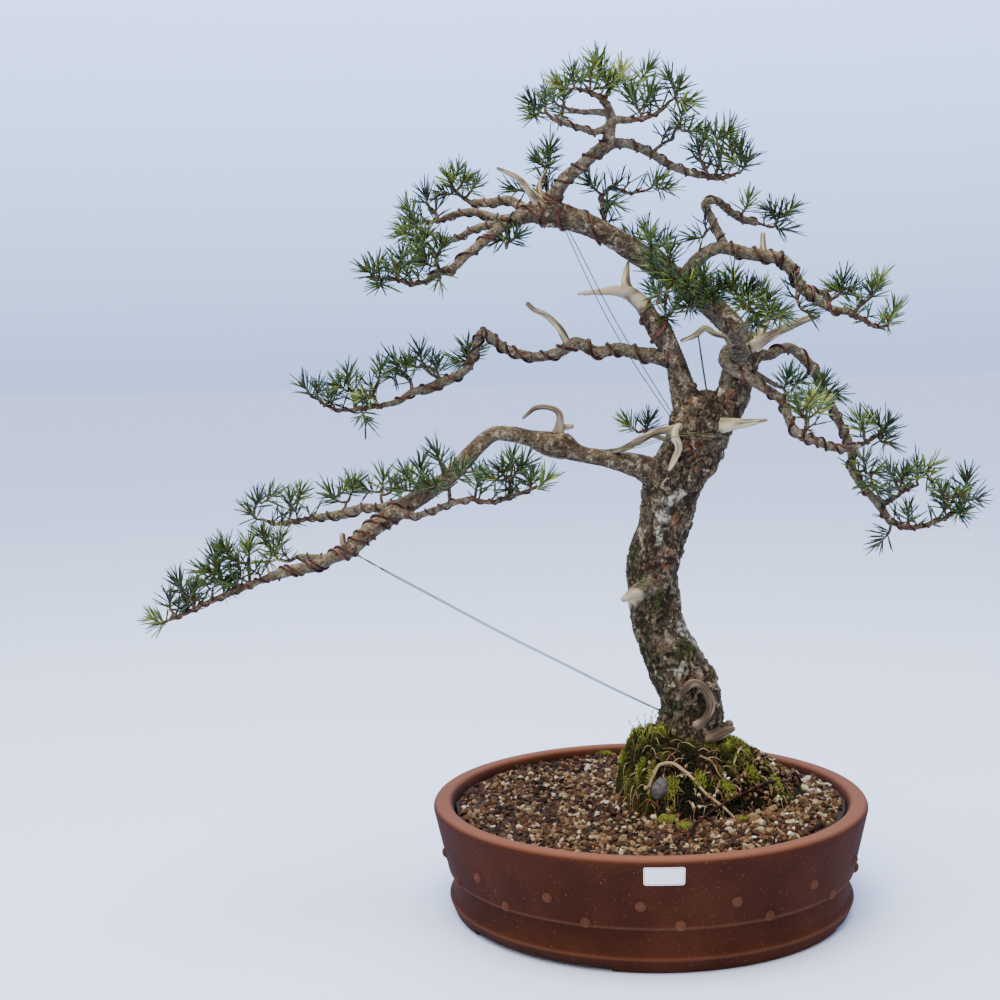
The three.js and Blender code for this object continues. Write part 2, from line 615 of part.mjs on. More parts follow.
    [690, 729, -22, 7], [705, 719, -34, 5.6], [711, 706, -36, 5.4], [706, 691, -37, 5.2],
    [694, 683, -36, 5.4],
    [684, 691, -36, 4.6], [677, 700, -36, 3],
  ] },
  rootSpur: { sides: 5, route: [[700, 742, -16, 11], [717, 735, -30, 7], [734, 728, -36, 2.5]] },
  rootNub: { sides: 4, route: [[716, 738, 0, 9], [724, 730, -2, 6], [731, 722, -4, 4]] },
};

const routes = {};

function traceWood() {
  for (const [name, limb] of Object.entries(WOOD)) {
    const points = limb.route.map(([right, down, back]) => seen(right, down, back));
    const radii = limb.route.map((row) => row[3]);
    routes[name] = { points, radii };
    take(points, radii, 'tree');
  }
}

// The root that arches out of the moss and dives back into it.
const ARCH_ROOT = {
  sides: 4,
  radius: 3,
  seen: [[653, 778], [658, 765], [669, 762], [681, 769], [693, 780], [704, 793]],
};

function archRoot(grow) {
  const over = ARCH_ROOT.seen.map(([right, down]) => seenOnGround(right, down, 5.5));
  const start = new THREE.Vector3(MOUND.x - 8, MOUND.y + 10, 112);
  const dip = over[0].clone().add(new THREE.Vector3(-4, 2, -9));
  const dive = over[over.length - 1].clone().add(new THREE.Vector3(7, -3, -8));
  const points = [start, dip, ...over, dive];
  const radii = points.map((_, i) => (i === 0 ? 6 : ARCH_ROOT.radius - 0.12 * i) + grow);
  return stemSolid(points, radii, ARCH_ROOT.sides);
}

function barkRelief(depth, sides) {
  return (angle, distance) => {
    const column = Math.round((angle / (2 * Math.PI)) * sides);
    const row = Math.round(distance / 19);
    return depth * (((column * 7 + row * 5 + (column % 3) * row) % 4) / 1.5 - 1);
  };
}

function treeSolid() {
  const solids = Object.entries(WOOD).map(([name, limb]) => {
    const { points, radii } = routes[name];
    const relief = limb.bark ? barkRelief(limb.bark, limb.sides) : null;
    return stemSolid(points, radii, limb.sides, relief);
  });
  return joined([...solids, archRoot(0)]);
}

// How far the bark lies from a place, for a rod of this radius that is pushed that way flat end first.
const SEEK = 150;
let bark = null;

function barkAhead(from, direction, radius) {
  const along = direction.clone().normalize();
  const helper = Math.abs(along.z) > 0.8 ? new THREE.Vector3(1, 0, 0) : new THREE.Vector3(0, 0, 1);
  const side = helper.clone().cross(along).normalize();
  const other = along.clone().cross(side);
  let least = Infinity;
  for (let k = 0; k <= 12; k += 1) {
    const angle = (2 * Math.PI * k) / 12;
    const reach = k === 12 ? 0 : radius;
    const probe = from.clone().addScaledVector(side, reach * Math.cos(angle))
      .addScaledVector(other, reach * Math.sin(angle));
    const hits = new THREE.Raycaster(probe, along, 0, SEEK).intersectObject(bark);
    if (hits.length) least = Math.min(least, hits[0].distance);
  }
  return least;
}

// The end of a rod whose line runs on into the wood, drawn back to just clear of the bark.
function seatedEnd(end, before, radius) {
  const line = end.clone().sub(before);
  const free = barkAhead(before, line, radius);
  if (free === Infinity) return end;
  return before.clone().addScaledVector(line.normalize(), free - GAP);
}

// The plain socket that the foot of the tree stands in.
function footCutter() {
  const grow = 0.7;
  const names = ['trunk', 'baseLoop', 'rootSpur', 'rootNub'];
  const solids = names.map((name) => {
    const count = name === 'trunk' ? 5 : 3;
    const points = routes[name].points.slice(0, count).map((p) => p.clone());
    const sides = name === 'trunk' ? 10 : 6;
    const radii = routes[name].radii.slice(0, count)
      .map((r) => (r + grow + (WOOD[name].bark ?? 0)) / Math.cos(Math.PI / sides));
    const reach = points[0].clone().sub(points[1]).normalize();
    points[0].addScaledVector(reach, name === 'trunk' ? GAP : 0);
    return stemSolid(points, radii, sides);
  });
  return joined([...solids, archRoot(0.6)]);
}

// Wires. A coil winds about a limb between two shares of its length.
const COPPER = [
  { name: 'wire_left_leader', limb: 'leftLeader', from: 0.49, to: 0.64, turns: 2, radius: 1.3 },
  { name: 'wire_lower_limb', limb: 'limb1', from: 0.8, to: 0.985, turns: 4, radius: 1.2 },
  { name: 'wire_middle_limb', limb: 'branch2', from: 0.38, to: 0.62, turns: 2, radius: 1.2 },
  { name: 'wire_upper_limb', limb: 'upperLimb', from: 0.81, to: 0.98, turns: 3, radius: 1.1 },
  { name: 'wire_apex', limb: 'apexStem', from: 0.2, to: 0.6, turns: 2, radius: 1.1 },
  { name: 'wire_right_branch', limb: 'rightBranch', from: 0.4, to: 0.96, turns: 4, radius: 1.1 },
  { name: 'wire_falling_branch', limb: 'fallingBranch', from: 0.24, to: 0.96, turns: 4, radius: 1.1 },
  { name: 'wire_outer_branch', limb: 'outerBranch', from: 0.16, to: 0.96, turns: 5, radius: 1.1 },
];
const COIL_STEPS = 6; // straight pieces in one turn of a coil

function alongLimb(name, share) {
  const { points, radii } = routes[name];
  const frames = routes[name].frames ?? ringFrames(points);
  routes[name].frames = frames;
  const lengths = points.map((p, i) => (i ? p.distanceTo(points[i - 1]) : 0));
  const total = lengths.reduce((sum, l) => sum + l, 0);
  let rest = share * total;
  let i = 1;
  while (i < points.length - 1 && rest > lengths[i]) {
    rest -= lengths[i];
    i += 1;
  }
  const t = rest / lengths[i];
  return {
    point: points[i - 1].clone().lerp(points[i], t),
    side: frames[i - 1].side.clone().lerp(frames[i].side, t).normalize(),
    other: frames[i - 1].other.clone().lerp(frames[i].other, t).normalize(),
    radius: THREE.MathUtils.lerp(radii[i - 1], radii[i], t),
  };
}

function wirePoints(wire, tighter) {
  const steps = Math.round(wire.turns * COIL_STEPS);
  const points = [];
  for (let k = 0; k <= steps; k += 1) {
    const share = wire.from + ((wire.to - wire.from) * k) / steps;
    const here = alongLimb(wire.limb, share);
    const angle = (2 * Math.PI * k) / COIL_STEPS;
    const relief = WOOD[wire.limb].bark ?? 0;
    let reach = (here.radius + relief + wire.radius + GAP) / Math.cos(Math.PI / COIL_STEPS) - tighter;
    const place = () => here.point.clone()
      .addScaledVector(here.side, reach * Math.cos(angle))
      .addScaledVector(here.other, reach * Math.sin(angle));
    let point = place();
    let tries = 0;
    const blocked = () => {
      const from = points.length
        ? points[points.length - 1]
        : point.clone().addScaledVector(here.side, 0.1);
      return clearance(from, point, wire.radius, wire.radius, wire.name) < 0.25;
    };
    while (blocked() && tries < 14) {
      reach += 0.7;
      tries += 1;
      point = place();
    }
    points.push(point);
  }
  return points;
}

// The least air between a coil and the bark inside it.
function coilAir(wire, points) {
  let least = Infinity;
  for (let k = 0; k + 1 < points.length; k += 1) {
    for (const t of [0, 0.25, 0.5, 0.75]) {
      const share = wire.from + ((wire.to - wire.from) * (k + t)) / (points.length - 1);
      const place = points[k].clone().lerp(points[k + 1], t);
      const inward = alongLimb(wire.limb, share).point.sub(place);
      least = Math.min(least, barkAhead(place, inward, 0) - wire.radius);
    }
  }
  return least;
}

// Guy wires: drawn tight between two stems, with a loop about each.
const GUYS = {
  guy_wire_long: [[561, 218, -4], [615, 326, -25], [682, 432, -4]],
  guy_wire_lower_limb: [
    [350, 551, -78], [384, 570, -79], [440, 600, -69], [500, 632, -60], [560, 662, -49],
    [610, 687, -40], [672, 716, -20],
  ],
  guy_wire_trunk: [[598, 451, -26], [640, 446, -34], [672, 436, -38.5], [702, 434, -46], [728, 437, -38]],
  guy_wire_right: [[698, 334, -12], [703, 368, -9], [709, 406, -6]],
};

// The wire that ties the roots down: out of one hole in the gravel, over the moss, into another.
const TIE = {
  radius: 1.3,
  seen: [[688, 837], [700, 820], [720, 806], [742, 794], [765, 783], [784, 781], [801, 782]],
};

function tieDownPoints() {
  const over = TIE.seen.map(([right, down]) => seenOnGround(right, down, 5.5));
  const first = over[0].clone().add(new THREE.Vector3(-3, -2, -13));
  const last = over[over.length - 1].clone().add(new THREE.Vector3(5, 0, -13));
  return [first, ...over, last];
}

function tieDownSolid(grow) {
  const points = tieDownPoints();
  return stemSolid(points, points.map(() => TIE.radius + grow), 4);
}

function tieHoles() {
  const points = tieDownPoints();
  const ends = [points.slice(0, 2), points.slice(-2).reverse()];
  return joined(ends.map(([low, high]) => {
    const reach = low.clone().sub(high).normalize();
    const line = [low.clone().addScaledVector(reach, GAP), high];
    return stemSolid(line, [TIE.radius + 1, TIE.radius + 1], 4);
  }));
}

// Needle sprays. Each is one leafy stem: it grows from a place on a limb, may fork, and carries
// tufts of needles. Rows are: mm right, mm down, mm behind.
const SPRAYS = {
  lower_limb_tip: { stems: [
    [[270, 577, -90], [247, 586, -90], [226, 595, -88], [204, 604, -87], [184, 614, -84], [167, 621, -82]],
    [[250, 585, -90], [249, 570, -84], [249, 560, -81]],
    [[240, 589, -90], [226, 582, -75], [214, 578, -69]],
  ], tufts: [[158, 621, -81], [169, 600, -69], [181, 586, -90], [204, 583, -63], [219, 572, -84],
    [236, 560, -66]] },
  lower_limb_second: { stems: [[[297, 557, -51], [288, 561, -48], [280, 560, -46]]],
    tufts: [[274, 553, -42], [264, 538, -57], [268, 562, -60]] },
  upper_side_tip: { stems: [[[314, 518, 12], [296, 521, 20], [279, 524, 27], [264, 520, 33]]],
    tufts: [[252, 514, 39], [257, 502, 27], [272, 496, 42], [297, 497, 18]] },
  upper_side_middle: { stems: [[[345, 511, -4], [346, 502, 3]]],
    tufts: [[333, 496, 9], [353, 487, -9]] },
  upper_side_inner: { stems: [[[382, 505, -27], [381, 495, -22]]],
    tufts: [[383, 481, -15], [368, 490, -9]] },
  lower_limb_middle: { stems: [[[417, 495, -56], [418, 486, -62]]],
    tufts: [[407, 477, -48], [421, 470, -69], [408, 488, -81]] },
  return_rise: { stems: [[[450, 502, -104], [449, 488, -102], [447, 473, -99]]],
    tufts: [[438, 457, -96], [455, 470, -81], [438, 484, -120]] },
  return_tip: { stems: [
    [[470, 499, -114], [491, 502, -123], [510, 497, -130], [527, 491, -135], [536, 487, -138]],
    [[508, 498, -129], [510, 486, -129]],
  ], tufts: [[543, 483, -138], [531, 480, -123], [512, 463, -120], [503, 473, -144], [478, 482, -108]] },
  middle_limb_tip: { stems: [
    [[383, 405, 66], [366, 408, 66], [350, 410, 66], [334, 409, 64], [320, 402, 63]],
    [[355, 409, 66], [353, 396, 69], [350, 388, 72]],
    [[378, 406, 66], [373, 394, 60], [377, 384, 54]],
  ], tufts: [[307, 389, 60], [319, 390, 45], [331, 397, 78], [348, 378, 75], [339, 387, 57], [380, 372, 51],
    [364, 418, 69]] },
  middle_limb_rise: { stems: [[[412, 388, 64], [409, 378, 72], [403, 373, 75]]],
    tufts: [[396, 364, 78], [406, 366, 63]] },
  middle_limb_fork: { stems: [[[440, 378, 63], [431, 374, 57], [424, 368, 54]]],
    tufts: [[421, 356, 51], [413, 365, 66]] },
  middle_limb_elbow: { stems: [[[470, 360, 66], [469, 356, 72]]], tufts: [[468, 351, 75]] },
  upper_left_tip: { stems: [
    [[427, 281, -45], [413, 284, -51], [398, 280, -56], [382, 279, -60]],
    [[413, 284, -51], [408, 274, -46], [404, 268, -45]],
  ], tufts: [[371, 273, -63], [381, 285, -69], [402, 261, -39], [395, 270, -60]] },
  upper_left_rise: { stems: [[[439, 269, -39], [436, 260, -36], [432, 252, -32]]],
    tufts: [[419, 253, -24], [427, 262, -57]] },
  upper_left_middle: { stems: [
    [[443, 219, 44], [430, 222, 48], [420, 220, 51]],
    [[438, 220, 45], [434, 211, 50], [429, 207, 51]],
  ], tufts: [[410, 211, 54], [415, 225, 63], [406, 229, 42]] },
  upper_left_low: { stems: [[[431, 233, 18], [422, 229, 16]]],
    tufts: [[408, 234, 12], [418, 241, 3]] },
  upper_left_top: { stems: [[[472, 203, 44], [463, 198, 48], [458, 194, 50]]],
    tufts: [[449, 180, 51], [463, 180, 39], [475, 186, 60], [445, 194, 45]] },
  upper_left_hanging: { stems: [[[506, 230, -8], [508, 240, -14], [506, 249, -16]]],
    tufts: [[515, 238, -21]] },
  knot_tuft: { stems: [[[549, 211, 2], [547, 190, 21], [545, 176, 27]]],
    tufts: [[549, 152, 26], [540, 163, 18]] },
  apex_left: { stems: [[[552, 118, -54], [546, 112, -57]]],
    tufts: [[534, 106, -57], [545, 101, -45], [535, 116, -69]] },
  apex_back: { stems: [[[570, 110, 4], [562, 106, 9]]],
    tufts: [[552, 98, 12], [564, 95, -3]] },
  apex_top: { stems: [
    [[606, 103, -36], [598, 96, -39], [586, 91, -40], [574, 88, -42]],
    [[604, 101, -36], [608, 92, -30], [614, 86, -21]],
  ], tufts: [[562, 86, -51], [573, 76, -33], [592, 69, -51], [606, 72, -24], [622, 74, -12],
    [645, 72, 0]] },
  apex_right: { stems: [
    [[632, 120, -39], [648, 117, -45], [660, 111, -50], [668, 103, -51]],
    [[643, 118, -44], [638, 109, -39]],
  ],
    tufts: [[678, 88, -52], [684, 103, -60], [633, 98, -30], [650, 96, -51]] },
  crown_rise: { stems: [[[655, 150, -9], [664, 143, -6], [673, 139, -3]]],
    tufts: [[682, 113, 0], [679, 126, 9], [691, 131, -12]] },
  crown_tip: { stems: [
    [[700, 175, 4], [716, 178, 8], [730, 176, 10], [737, 173, 12]],
    [[714, 177, 8], [719, 166, 12], [721, 157, 15]],
    [[710, 177, 6], [702, 163, -6], [699, 155, -9]],
  ], tufts: [[746, 164, 14], [739, 151, 6], [716, 138, 21], [728, 133, 6], [702, 139, -15],
    [731, 146, 30]] },
  back_sprig: { stems: [[[607, 235, 5], [603, 212, 28], [602, 196, 39], [612, 188, 45],
    [628, 193, 51], [643, 191, 54]]],
    tufts: [[656, 182, 57], [612, 206, 45], [592, 184, 36]] },
  right_branch_tip: { stems: [
    [[848, 312, -27], [864, 320, -32], [880, 327, -36], [887, 325, -38]],
    [[852, 314, -28], [860, 306, -22], [870, 298, -18]],
  ], tufts: [[893, 314, -39], [878, 284, -15], [886, 300, -48]] },
  right_branch_pair: { stems: [[[832, 299, 12], [838, 296, 14]]], tufts: [[842, 285, 15], [848, 292, 6]] },
  right_upper_tip: { stems: [[[757, 223, 66], [770, 227, 70]]],
    tufts: [[779, 216, 74], [788, 212, 66], [782, 229, 72], [757, 205, 75]] },
  front_left: { stems: [[[711, 311, -69], [704, 305, -74]]],
    tufts: [[688, 287, -78], [701, 291, -66], [688, 306, -84]] },
  front_right: { stems: [[[750, 320, -72], [755, 314, -76]]],
    tufts: [[735, 290, -75], [749, 302, -96], [764, 300, -72], [776, 314, -84], [757, 326, -93]] },
  behind_leader: { stems: [[[672, 276, 26], [667, 293, 22], [665, 307, 18]]],
    tufts: [[656, 292, 8], [669, 319, 15]] },
  limb_top: { stems: [[[657, 266, 20], [652, 246, 24]]], tufts: [[648, 233, 27], [632, 238, 21]] },
  third_twig: { stems: [[[777, 386, 42], [784, 389, 45]]], tufts: [[787, 380, 48], [797, 382, 39],
    [792, 397, 51]] },
  falling_middle: { stems: [[[804, 438, -72], [806, 426, -70], [806, 417, -66]]],
    tufts: [[799, 409, -63], [809, 403, -75], [819, 409, -57]] },
  falling_tip: { stems: [[[860, 445, -75], [872, 439, -75], [880, 434, -75]]],
    tufts: [[886, 428, -72], [874, 421, -63], [860, 425, -84]] },
  outer_rise: { stems: [[[824, 391, 20], [820, 392, 6]]], tufts: [[822, 386, 0], [832, 393, -6]] },
  outer_middle: { stems: [[[853, 474, 2], [865, 470, -14]]],
    tufts: [[864, 464, -18], [873, 473, -21], [869, 485, -24]] },
  outer_inner: { stems: [[[887, 503, 3], [896, 497, 18], [906, 490, 24], [918, 485, 27]]],
    tufts: [[891, 474, 30], [905, 476, 12], [917, 472, 42], [930, 468, 27], [927, 482, 15]] },
  outer_tip: { thick: 3, stems: [
    [[890, 521, -6], [905, 527, -8], [922, 526, -9], [937, 521, -10], [952, 514, -12], [962, 504, -14],
    [966, 491, -15]],
  ], tufts: [[967, 480, -15], [973, 500, -21], [960, 515, -24], [946, 500, 3], [940, 494, -18],
    [884, 538, -6],
    [908, 515, 3]] },
  small_back_tuft: { stems: [[[652, 435, 81], [642, 431, 87]]], tufts: [[630, 425, 90], [648, 424, 81]] },
};

const TUFT = { rings: 2, step: 3.4 };

// A shoot: a slim core of three-cornered rings. Chosen small faces are drawn out into needles.
function tuftSolid(foot, base, direction, owner, draw) {
  const along = direction.clone().normalize();
  const helper = Math.abs(along.z) > 0.8 ? new THREE.Vector3(1, 0, 0) : new THREE.Vector3(0, 0, 1);
  const side = helper.clone().cross(along).normalize();
  const other = along.clone().cross(side);
  const turn = draw() * 2 * Math.PI;
  const corners = [];
  for (let ring = -1; ring <= TUFT.rings; ring += 1) {
    const slim = ring === TUFT.rings ? 0.75 : 1;
    for (let k = 0; k < 3; k += 1) {
      const angle = turn + ((k + ring / 2) * 2 * Math.PI) / 3;
      const centre = ring < 0 ? foot : base.clone().addScaledVector(along, ring * TUFT.step);
      corners.push(centre.clone()
        .addScaledVector(side, NEEDLE_BASE * slim * Math.cos(angle))
        .addScaledVector(other, NEEDLE_BASE * slim * Math.sin(angle)));
    }
  }
  const faces = [];
  for (let ring = 0; ring <= TUFT.rings; ring += 1) {
    for (let k = 0; k < 3; k += 1) {
      const a = ring * 3 + k;
      const b = ring * 3 + ((k + 1) % 3);
      faces.push([a, b, a + 3], [b, b + 3, a + 3]);
    }
  }
  const end = (TUFT.rings + 1) * 3;
  faces.push([end, end + 1, end + 2]);
  const triangles = [[0, 2, 1]];
  const own = [];
  const order = faces.map((_, i) => i).filter((i) => i >= 6 && i < faces.length - 1)
    .map((i) => ({ i, key: ((i * 5) % 12) + draw() * 0.5 }))
    .sort((p, q) => p.key - q.key).map((entry) => entry.i);
  const bearing = new Set();
  for (const i of [faces.length - 1, ...order]) {
    if (bearing.size >= NEEDLES_A_TUFT) break;
    const [a, b, c] = faces[i].map((n) => corners[n]);
    const middle = a.clone().add(b).add(c).divideScalar(3);
    const outward = b.clone().sub(a).cross(c.clone().sub(a)).normalize();
    const isEnd = i === faces.length - 1;
    for (let attempt = 0; attempt < 6; attempt += 1) {
      const lean = isEnd ? 0 : 0.75 + 0.75 * draw();
      const aim = outward.clone().addScaledVector(along, lean);
      aim.add(new THREE.Vector3(draw() - 0.5, draw() - 0.5, draw() - 0.35).multiplyScalar(0.5));
      const length = NEEDLE_LENGTH * (0.8 + 0.35 * draw());
      const tip = middle.clone().addScaledVector(aim.normalize(), length);
      const part = middle.clone().lerp(tip, 0.12);
      const clear = clearance(part, tip, 0.9, 0.1, owner) > 0.3;
      const apart = own.every((needle) => nearest(part, tip, needle.part, needle.tip).gap > 1.1);
      const onGround = tip.z > groundHeight(tip.x, tip.y) + 4;
      if (clear && apart && onGround) {
        const peak = corners.length;
        corners.push(tip);
        const [p, q, r] = faces[i];
        triangles.push([p, q, peak], [q, r, peak], [r, p, peak]);
        own.push({ part, tip, middle });
        bearing.add(i);
        break;
      }
    }
  }
  faces.forEach((face, i) => {
    if (!bearing.has(i)) triangles.push(face);
  });
  return { solid: solidOf(facetGeometry(corners, triangles)), own };
}

const STEM_RADIUS = 1.9;

const sprayLines = {};

// Settles a spray's stems and shoots, before the wires and needles that have to pass them.
function traceSpray(name, spray) {
  const owner = `spray_${name}`;
  const stems = spray.stems.map((rows, index) => {
    const points = rows.map(([right, down, back]) => seen(right, down, back));
    const thick = index === 0 ? (spray.thick ?? STEM_RADIUS) : STEM_RADIUS * 0.75;
    if (index === 0) points[0] = seatedEnd(points[0], points[1], thick);
    const radii = points.map((_, i) => THREE.MathUtils.lerp(thick, 1.2, i / points.length));
    take(points, radii, owner);
    return { points, radii };
  });
  const lines = stems.map((stem) => stem.points);
  const shoots = spray.tufts.map(([right, down, back]) => {
    const place = seen(right, down, back);
    const from = footOf(place, lines);
    const aim = place.clone().sub(from);
    const grow = aim.clone().normalize().add(new THREE.Vector3(0, 0, 0.35)).normalize();
    const base = place.clone().addScaledVector(grow, -(TUFT.rings * TUFT.step) / 2);
    lines.push([from, base]);
    take([from, base, place], [NEEDLE_BASE, NEEDLE_BASE, NEEDLE_BASE], owner);
    return { from, base, grow };
  });
  sprayLines[name] = { stems, shoots };
}

// The place on a spray's stems where a shoot starts: the nearest one, clear of the wood.
function footOf(place, lines) {
  let best = null;
  lines.forEach((points, line) => {
    for (let i = 0; i + 1 < points.length; i += 1) {
      const above = place.clone().add(new THREE.Vector3(0, 0, 0.01));
      const { gap, s } = nearest(points[i], points[i + 1], place, above);
      const share = line === 0 && i === 0 ? Math.max(s, 0.35) : Math.max(s, 0.05);
      const point = points[i].clone().lerp(points[i + 1], Math.min(share, 0.95));
      if (best === null || gap < best.gap - 0.5) best = { gap, point };
    }
  });
  return best.point;
}

function spraySolid(name, seed) {
  const draw = seededDraw(seed);
  const owner = `spray_${name}`;
  const { stems, shoots } = sprayLines[name];
  const solids = stems.map(({ points, radii }) => stemSolid(points, radii, 3));
  for (const { from, base, grow } of shoots) {
    const { solid, own } = tuftSolid(from, base, grow, owner, draw);
    solids.push(solid);
    for (const needle of own) take([needle.middle, needle.tip], [0.9, 0.1], owner);
  }
  return largest(joined(solids));
}

// Materials
const finish = (color, roughness, metalness = 0) => new THREE.MeshStandardMaterial({
  color, roughness, metalness, flatShading: true,
});
const STONEWARE = 0x5d3527;
const PAPER = 0xe8e8e4;
const GRAVEL = 0x8a6a4c;
const MOSS = 0x55662a;
const SLATE = 0x6e6a6c;
const PINE_BARK = 0x6b5344;
const NEEDLES = 0x3f5f3a;
const COPPER_WIRE = 0x9a5a44;
const STEEL_WIRE = 0x777b70;
const RUSTY_WIRE = 0x5a3c34;

const model = new THREE.Group();

function addMesh(name, solid, color, roughness, metalness) {
  const mesh = new THREE.Mesh(geometryOf(solid), finish(color, roughness, metalness));
  mesh.name = name;
  model.add(mesh);
}

traceWood();
const tree = treeSolid();
bark = new THREE.Mesh(geometryOf(tree));
for (const [name, spray] of Object.entries(SPRAYS)) traceSpray(name, spray);

const foot = footCutter();
const holes = tieHoles();
addMesh('pot', potSolid(), STONEWARE, 0.75);
addMesh('pot_label', labelSolid(), PAPER, 0.5);
addMesh('gravel_soil', gravelSolid([foot, holes]), GRAVEL, 0.95);
addMesh('moss_mound', mossSolid([foot, holes, solidOf(stoneGeometry(0.4))]), MOSS, 0.95);
addMesh('mound_stone', solidOf(stoneGeometry(0)), SLATE, 0.85);
addMesh('tree_wood', tree, PINE_BARK, 0.9);
addMesh('tie_down_wire', tieDownSolid(0), RUSTY_WIRE, 0.6, 0.3);

for (const [name, route] of Object.entries(GUYS)) {
  const points = route.map(([right, down, back]) => seen(right, down, back));
  const last = points.length - 1;
  points[0] = seatedEnd(points[0], points[1], STEEL_RADIUS);
  points[last] = seatedEnd(points[last], points[last - 1], STEEL_RADIUS);
  const radii = points.map(() => STEEL_RADIUS);
  addMesh(name, stemSolid(points, radii, 4), STEEL_WIRE, 0.45, 0.8);
  take(points, radii, name);
}

for (const wire of COPPER) {
  const slack = coilAir(wire, wirePoints(wire, 0)) - GAP;
  const points = wirePoints(wire, Math.max(slack, 0));
  const radii = points.map(() => wire.radius);
  addMesh(wire.name, solidOf(stemGeometry(points, radii, 3)), COPPER_WIRE, 0.4, 0.9);
  take(points, radii, wire.name);
}

Object.keys(SPRAYS).forEach((name, index) => {
  addMesh(`spray_${name}`, spraySolid(name, 100 + index), NEEDLES, 0.6);
});

export default model;
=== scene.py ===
# %% [markdown]
# # A scots pine bonsai in a drum pot
#
# This file dresses a solid model of a bonsai: an old pine with a bent trunk, two leaders, swept
# branches held by copper wire, a moss mound, clay gravel and an unglazed round pot. The solid model
# sets every size and place. Here each of its pieces gets the surface of the real one, cell by cell.

import math
from itertools import product

import bpy
import numpy as np
from mathutils import Matrix, Vector


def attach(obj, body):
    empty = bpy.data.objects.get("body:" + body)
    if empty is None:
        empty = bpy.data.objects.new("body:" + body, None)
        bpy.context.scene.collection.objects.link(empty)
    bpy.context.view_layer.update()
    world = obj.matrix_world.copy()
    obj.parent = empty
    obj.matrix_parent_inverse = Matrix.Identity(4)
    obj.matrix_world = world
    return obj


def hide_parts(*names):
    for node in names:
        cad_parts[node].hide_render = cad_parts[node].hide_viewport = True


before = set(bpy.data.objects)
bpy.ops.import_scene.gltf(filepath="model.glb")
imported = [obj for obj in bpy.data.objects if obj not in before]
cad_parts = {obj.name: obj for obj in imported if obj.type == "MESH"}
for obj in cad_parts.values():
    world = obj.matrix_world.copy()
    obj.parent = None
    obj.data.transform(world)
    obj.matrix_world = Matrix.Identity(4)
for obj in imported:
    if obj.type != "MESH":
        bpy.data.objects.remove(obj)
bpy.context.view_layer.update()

# %% [markdown]
# ## Places on the tree
#
# A bonsai has no straight line to measure from, so places are given as a viewer in front reads them:
# millimetres to the right and down on an upright square of one metre that stands in the pot's middle,
# then millimetres behind it. `seen` turns such a reading into a point. The same eye is the camera.

# %% Sight lines and the camera
MM = 0.001
EYE = np.array([-144.4, -1600.0, 557.6])
SIGHT = 1600.0
PITCH = math.radians(5.1)
ROLL = math.radians(-1.33)
SENSOR = 36.0


def seen(right, down, back=0.0):
    u = right - 500
    v = 500 - down
    across = math.cos(ROLL) * u - math.sin(ROLL) * v
    up = math.sin(ROLL) * u + math.cos(ROLL) * v
    ray = np.array([
        across,
        SIGHT * math.cos(PITCH) + up * math.sin(PITCH),
        -SIGHT * math.sin(PITCH) + up * math.cos(PITCH),
    ])
    return EYE + ray * (back - EYE[1]) / ray[1]


level_right = Vector((1, 0, 0))
level_up = Vector((0, math.sin(PITCH), math.cos(PITCH)))
look = Vector((0, math.cos(PITCH), -math.sin(PITCH)))
right_axis = level_right * math.cos(ROLL) + level_up * math.sin(ROLL)
up_axis = level_up * math.cos(ROLL) - level_right * math.sin(ROLL)

camera = bpy.data.objects.new("camera", bpy.data.cameras.new("camera"))
camera.data.lens = SENSOR * SIGHT / 1000
camera.data.sensor_width = SENSOR
camera.matrix_world = Matrix.Translation(Vector(EYE * MM)) @ Matrix(
    (right_axis, up_axis, -look)).transposed().to_4x4()
bpy.context.scene.collection.objects.link(camera)
bpy.context.scene.camera = camera
print("camera", round(camera.data.lens, 1), "mm, at", [round(v, 3) for v in camera.location])

# %% [markdown]
# ## Repeatable chance
#
# Bark, moss and gravel look random, yet the script has to grow the same tree each time. So every
# draw is seeded, and the two patterns below are worked out from whole-numbered cells of space:
# `cloud` is a soft noise, and `plates` splits space into lumps, as cracking bark splits into plates.

# %% Noise and plates
def draw_of(seed):
    return np.random.default_rng(seed)


def chance(cell, seed):
    """A number from 0 to 1 for each whole-numbered cell."""
    mixed = cell[..., 0] * 73856093 ^ cell[..., 1] * 19349663 ^ cell[..., 2] * 83492791
    mixed = (mixed ^ (seed * 2654435)) & 0x7FFFFFFF
    mixed = ((mixed ^ (mixed >> 13)) * 1274126177) & 0x7FFFFFFF
    mixed = ((mixed ^ (mixed >> 15)) * 2246822519) & 0x7FFFFFFF
    return ((mixed ^ (mixed >> 12)) & 0xFFFFFF) / 0xFFFFFF


def cloud(places, seed=0):
    """Soft noise from 0 to 1 with lumps one unit across."""
    low = np.floor(places).astype(np.int64)
    part = places - low
    part = part * part * (3 - 2 * part)
    total = np.zeros(len(places))
    for corner in product((0, 1), repeat=3):
        weight = np.prod(np.where(corner, part, 1 - part), axis=1)
        total += weight * chance(low + np.array(corner), seed)
    return total


def plates(places, seed=0):
    """For cells one unit across: the distance to the gap between plates beside each place, and the plate's number."""
    low = np.floor(places).astype(np.int64)
    nearest = np.full(len(places), 9.0)
    second = np.full(len(places), 9.0)
    tag = np.zeros(len(places))
    for corner in product((-1, 0, 1), repeat=3):
        cell = low + np.array(corner)
        middle = cell + np.stack([chance(cell, seed + k) for k in (1, 2, 3)], axis=1)
        far = np.linalg.norm(places - middle, axis=1)
        closer = far < nearest
        second = np.where(closer, nearest, np.minimum(second, far))
        tag = np.where(closer, chance(cell, seed + 4), tag)
        nearest = np.where(closer, far, nearest)
    return second - nearest, tag


def eased(value, low, high):
    share = np.clip((value - low) / (high - low), 0, 1)
    return share * share * (3 - 2 * share)


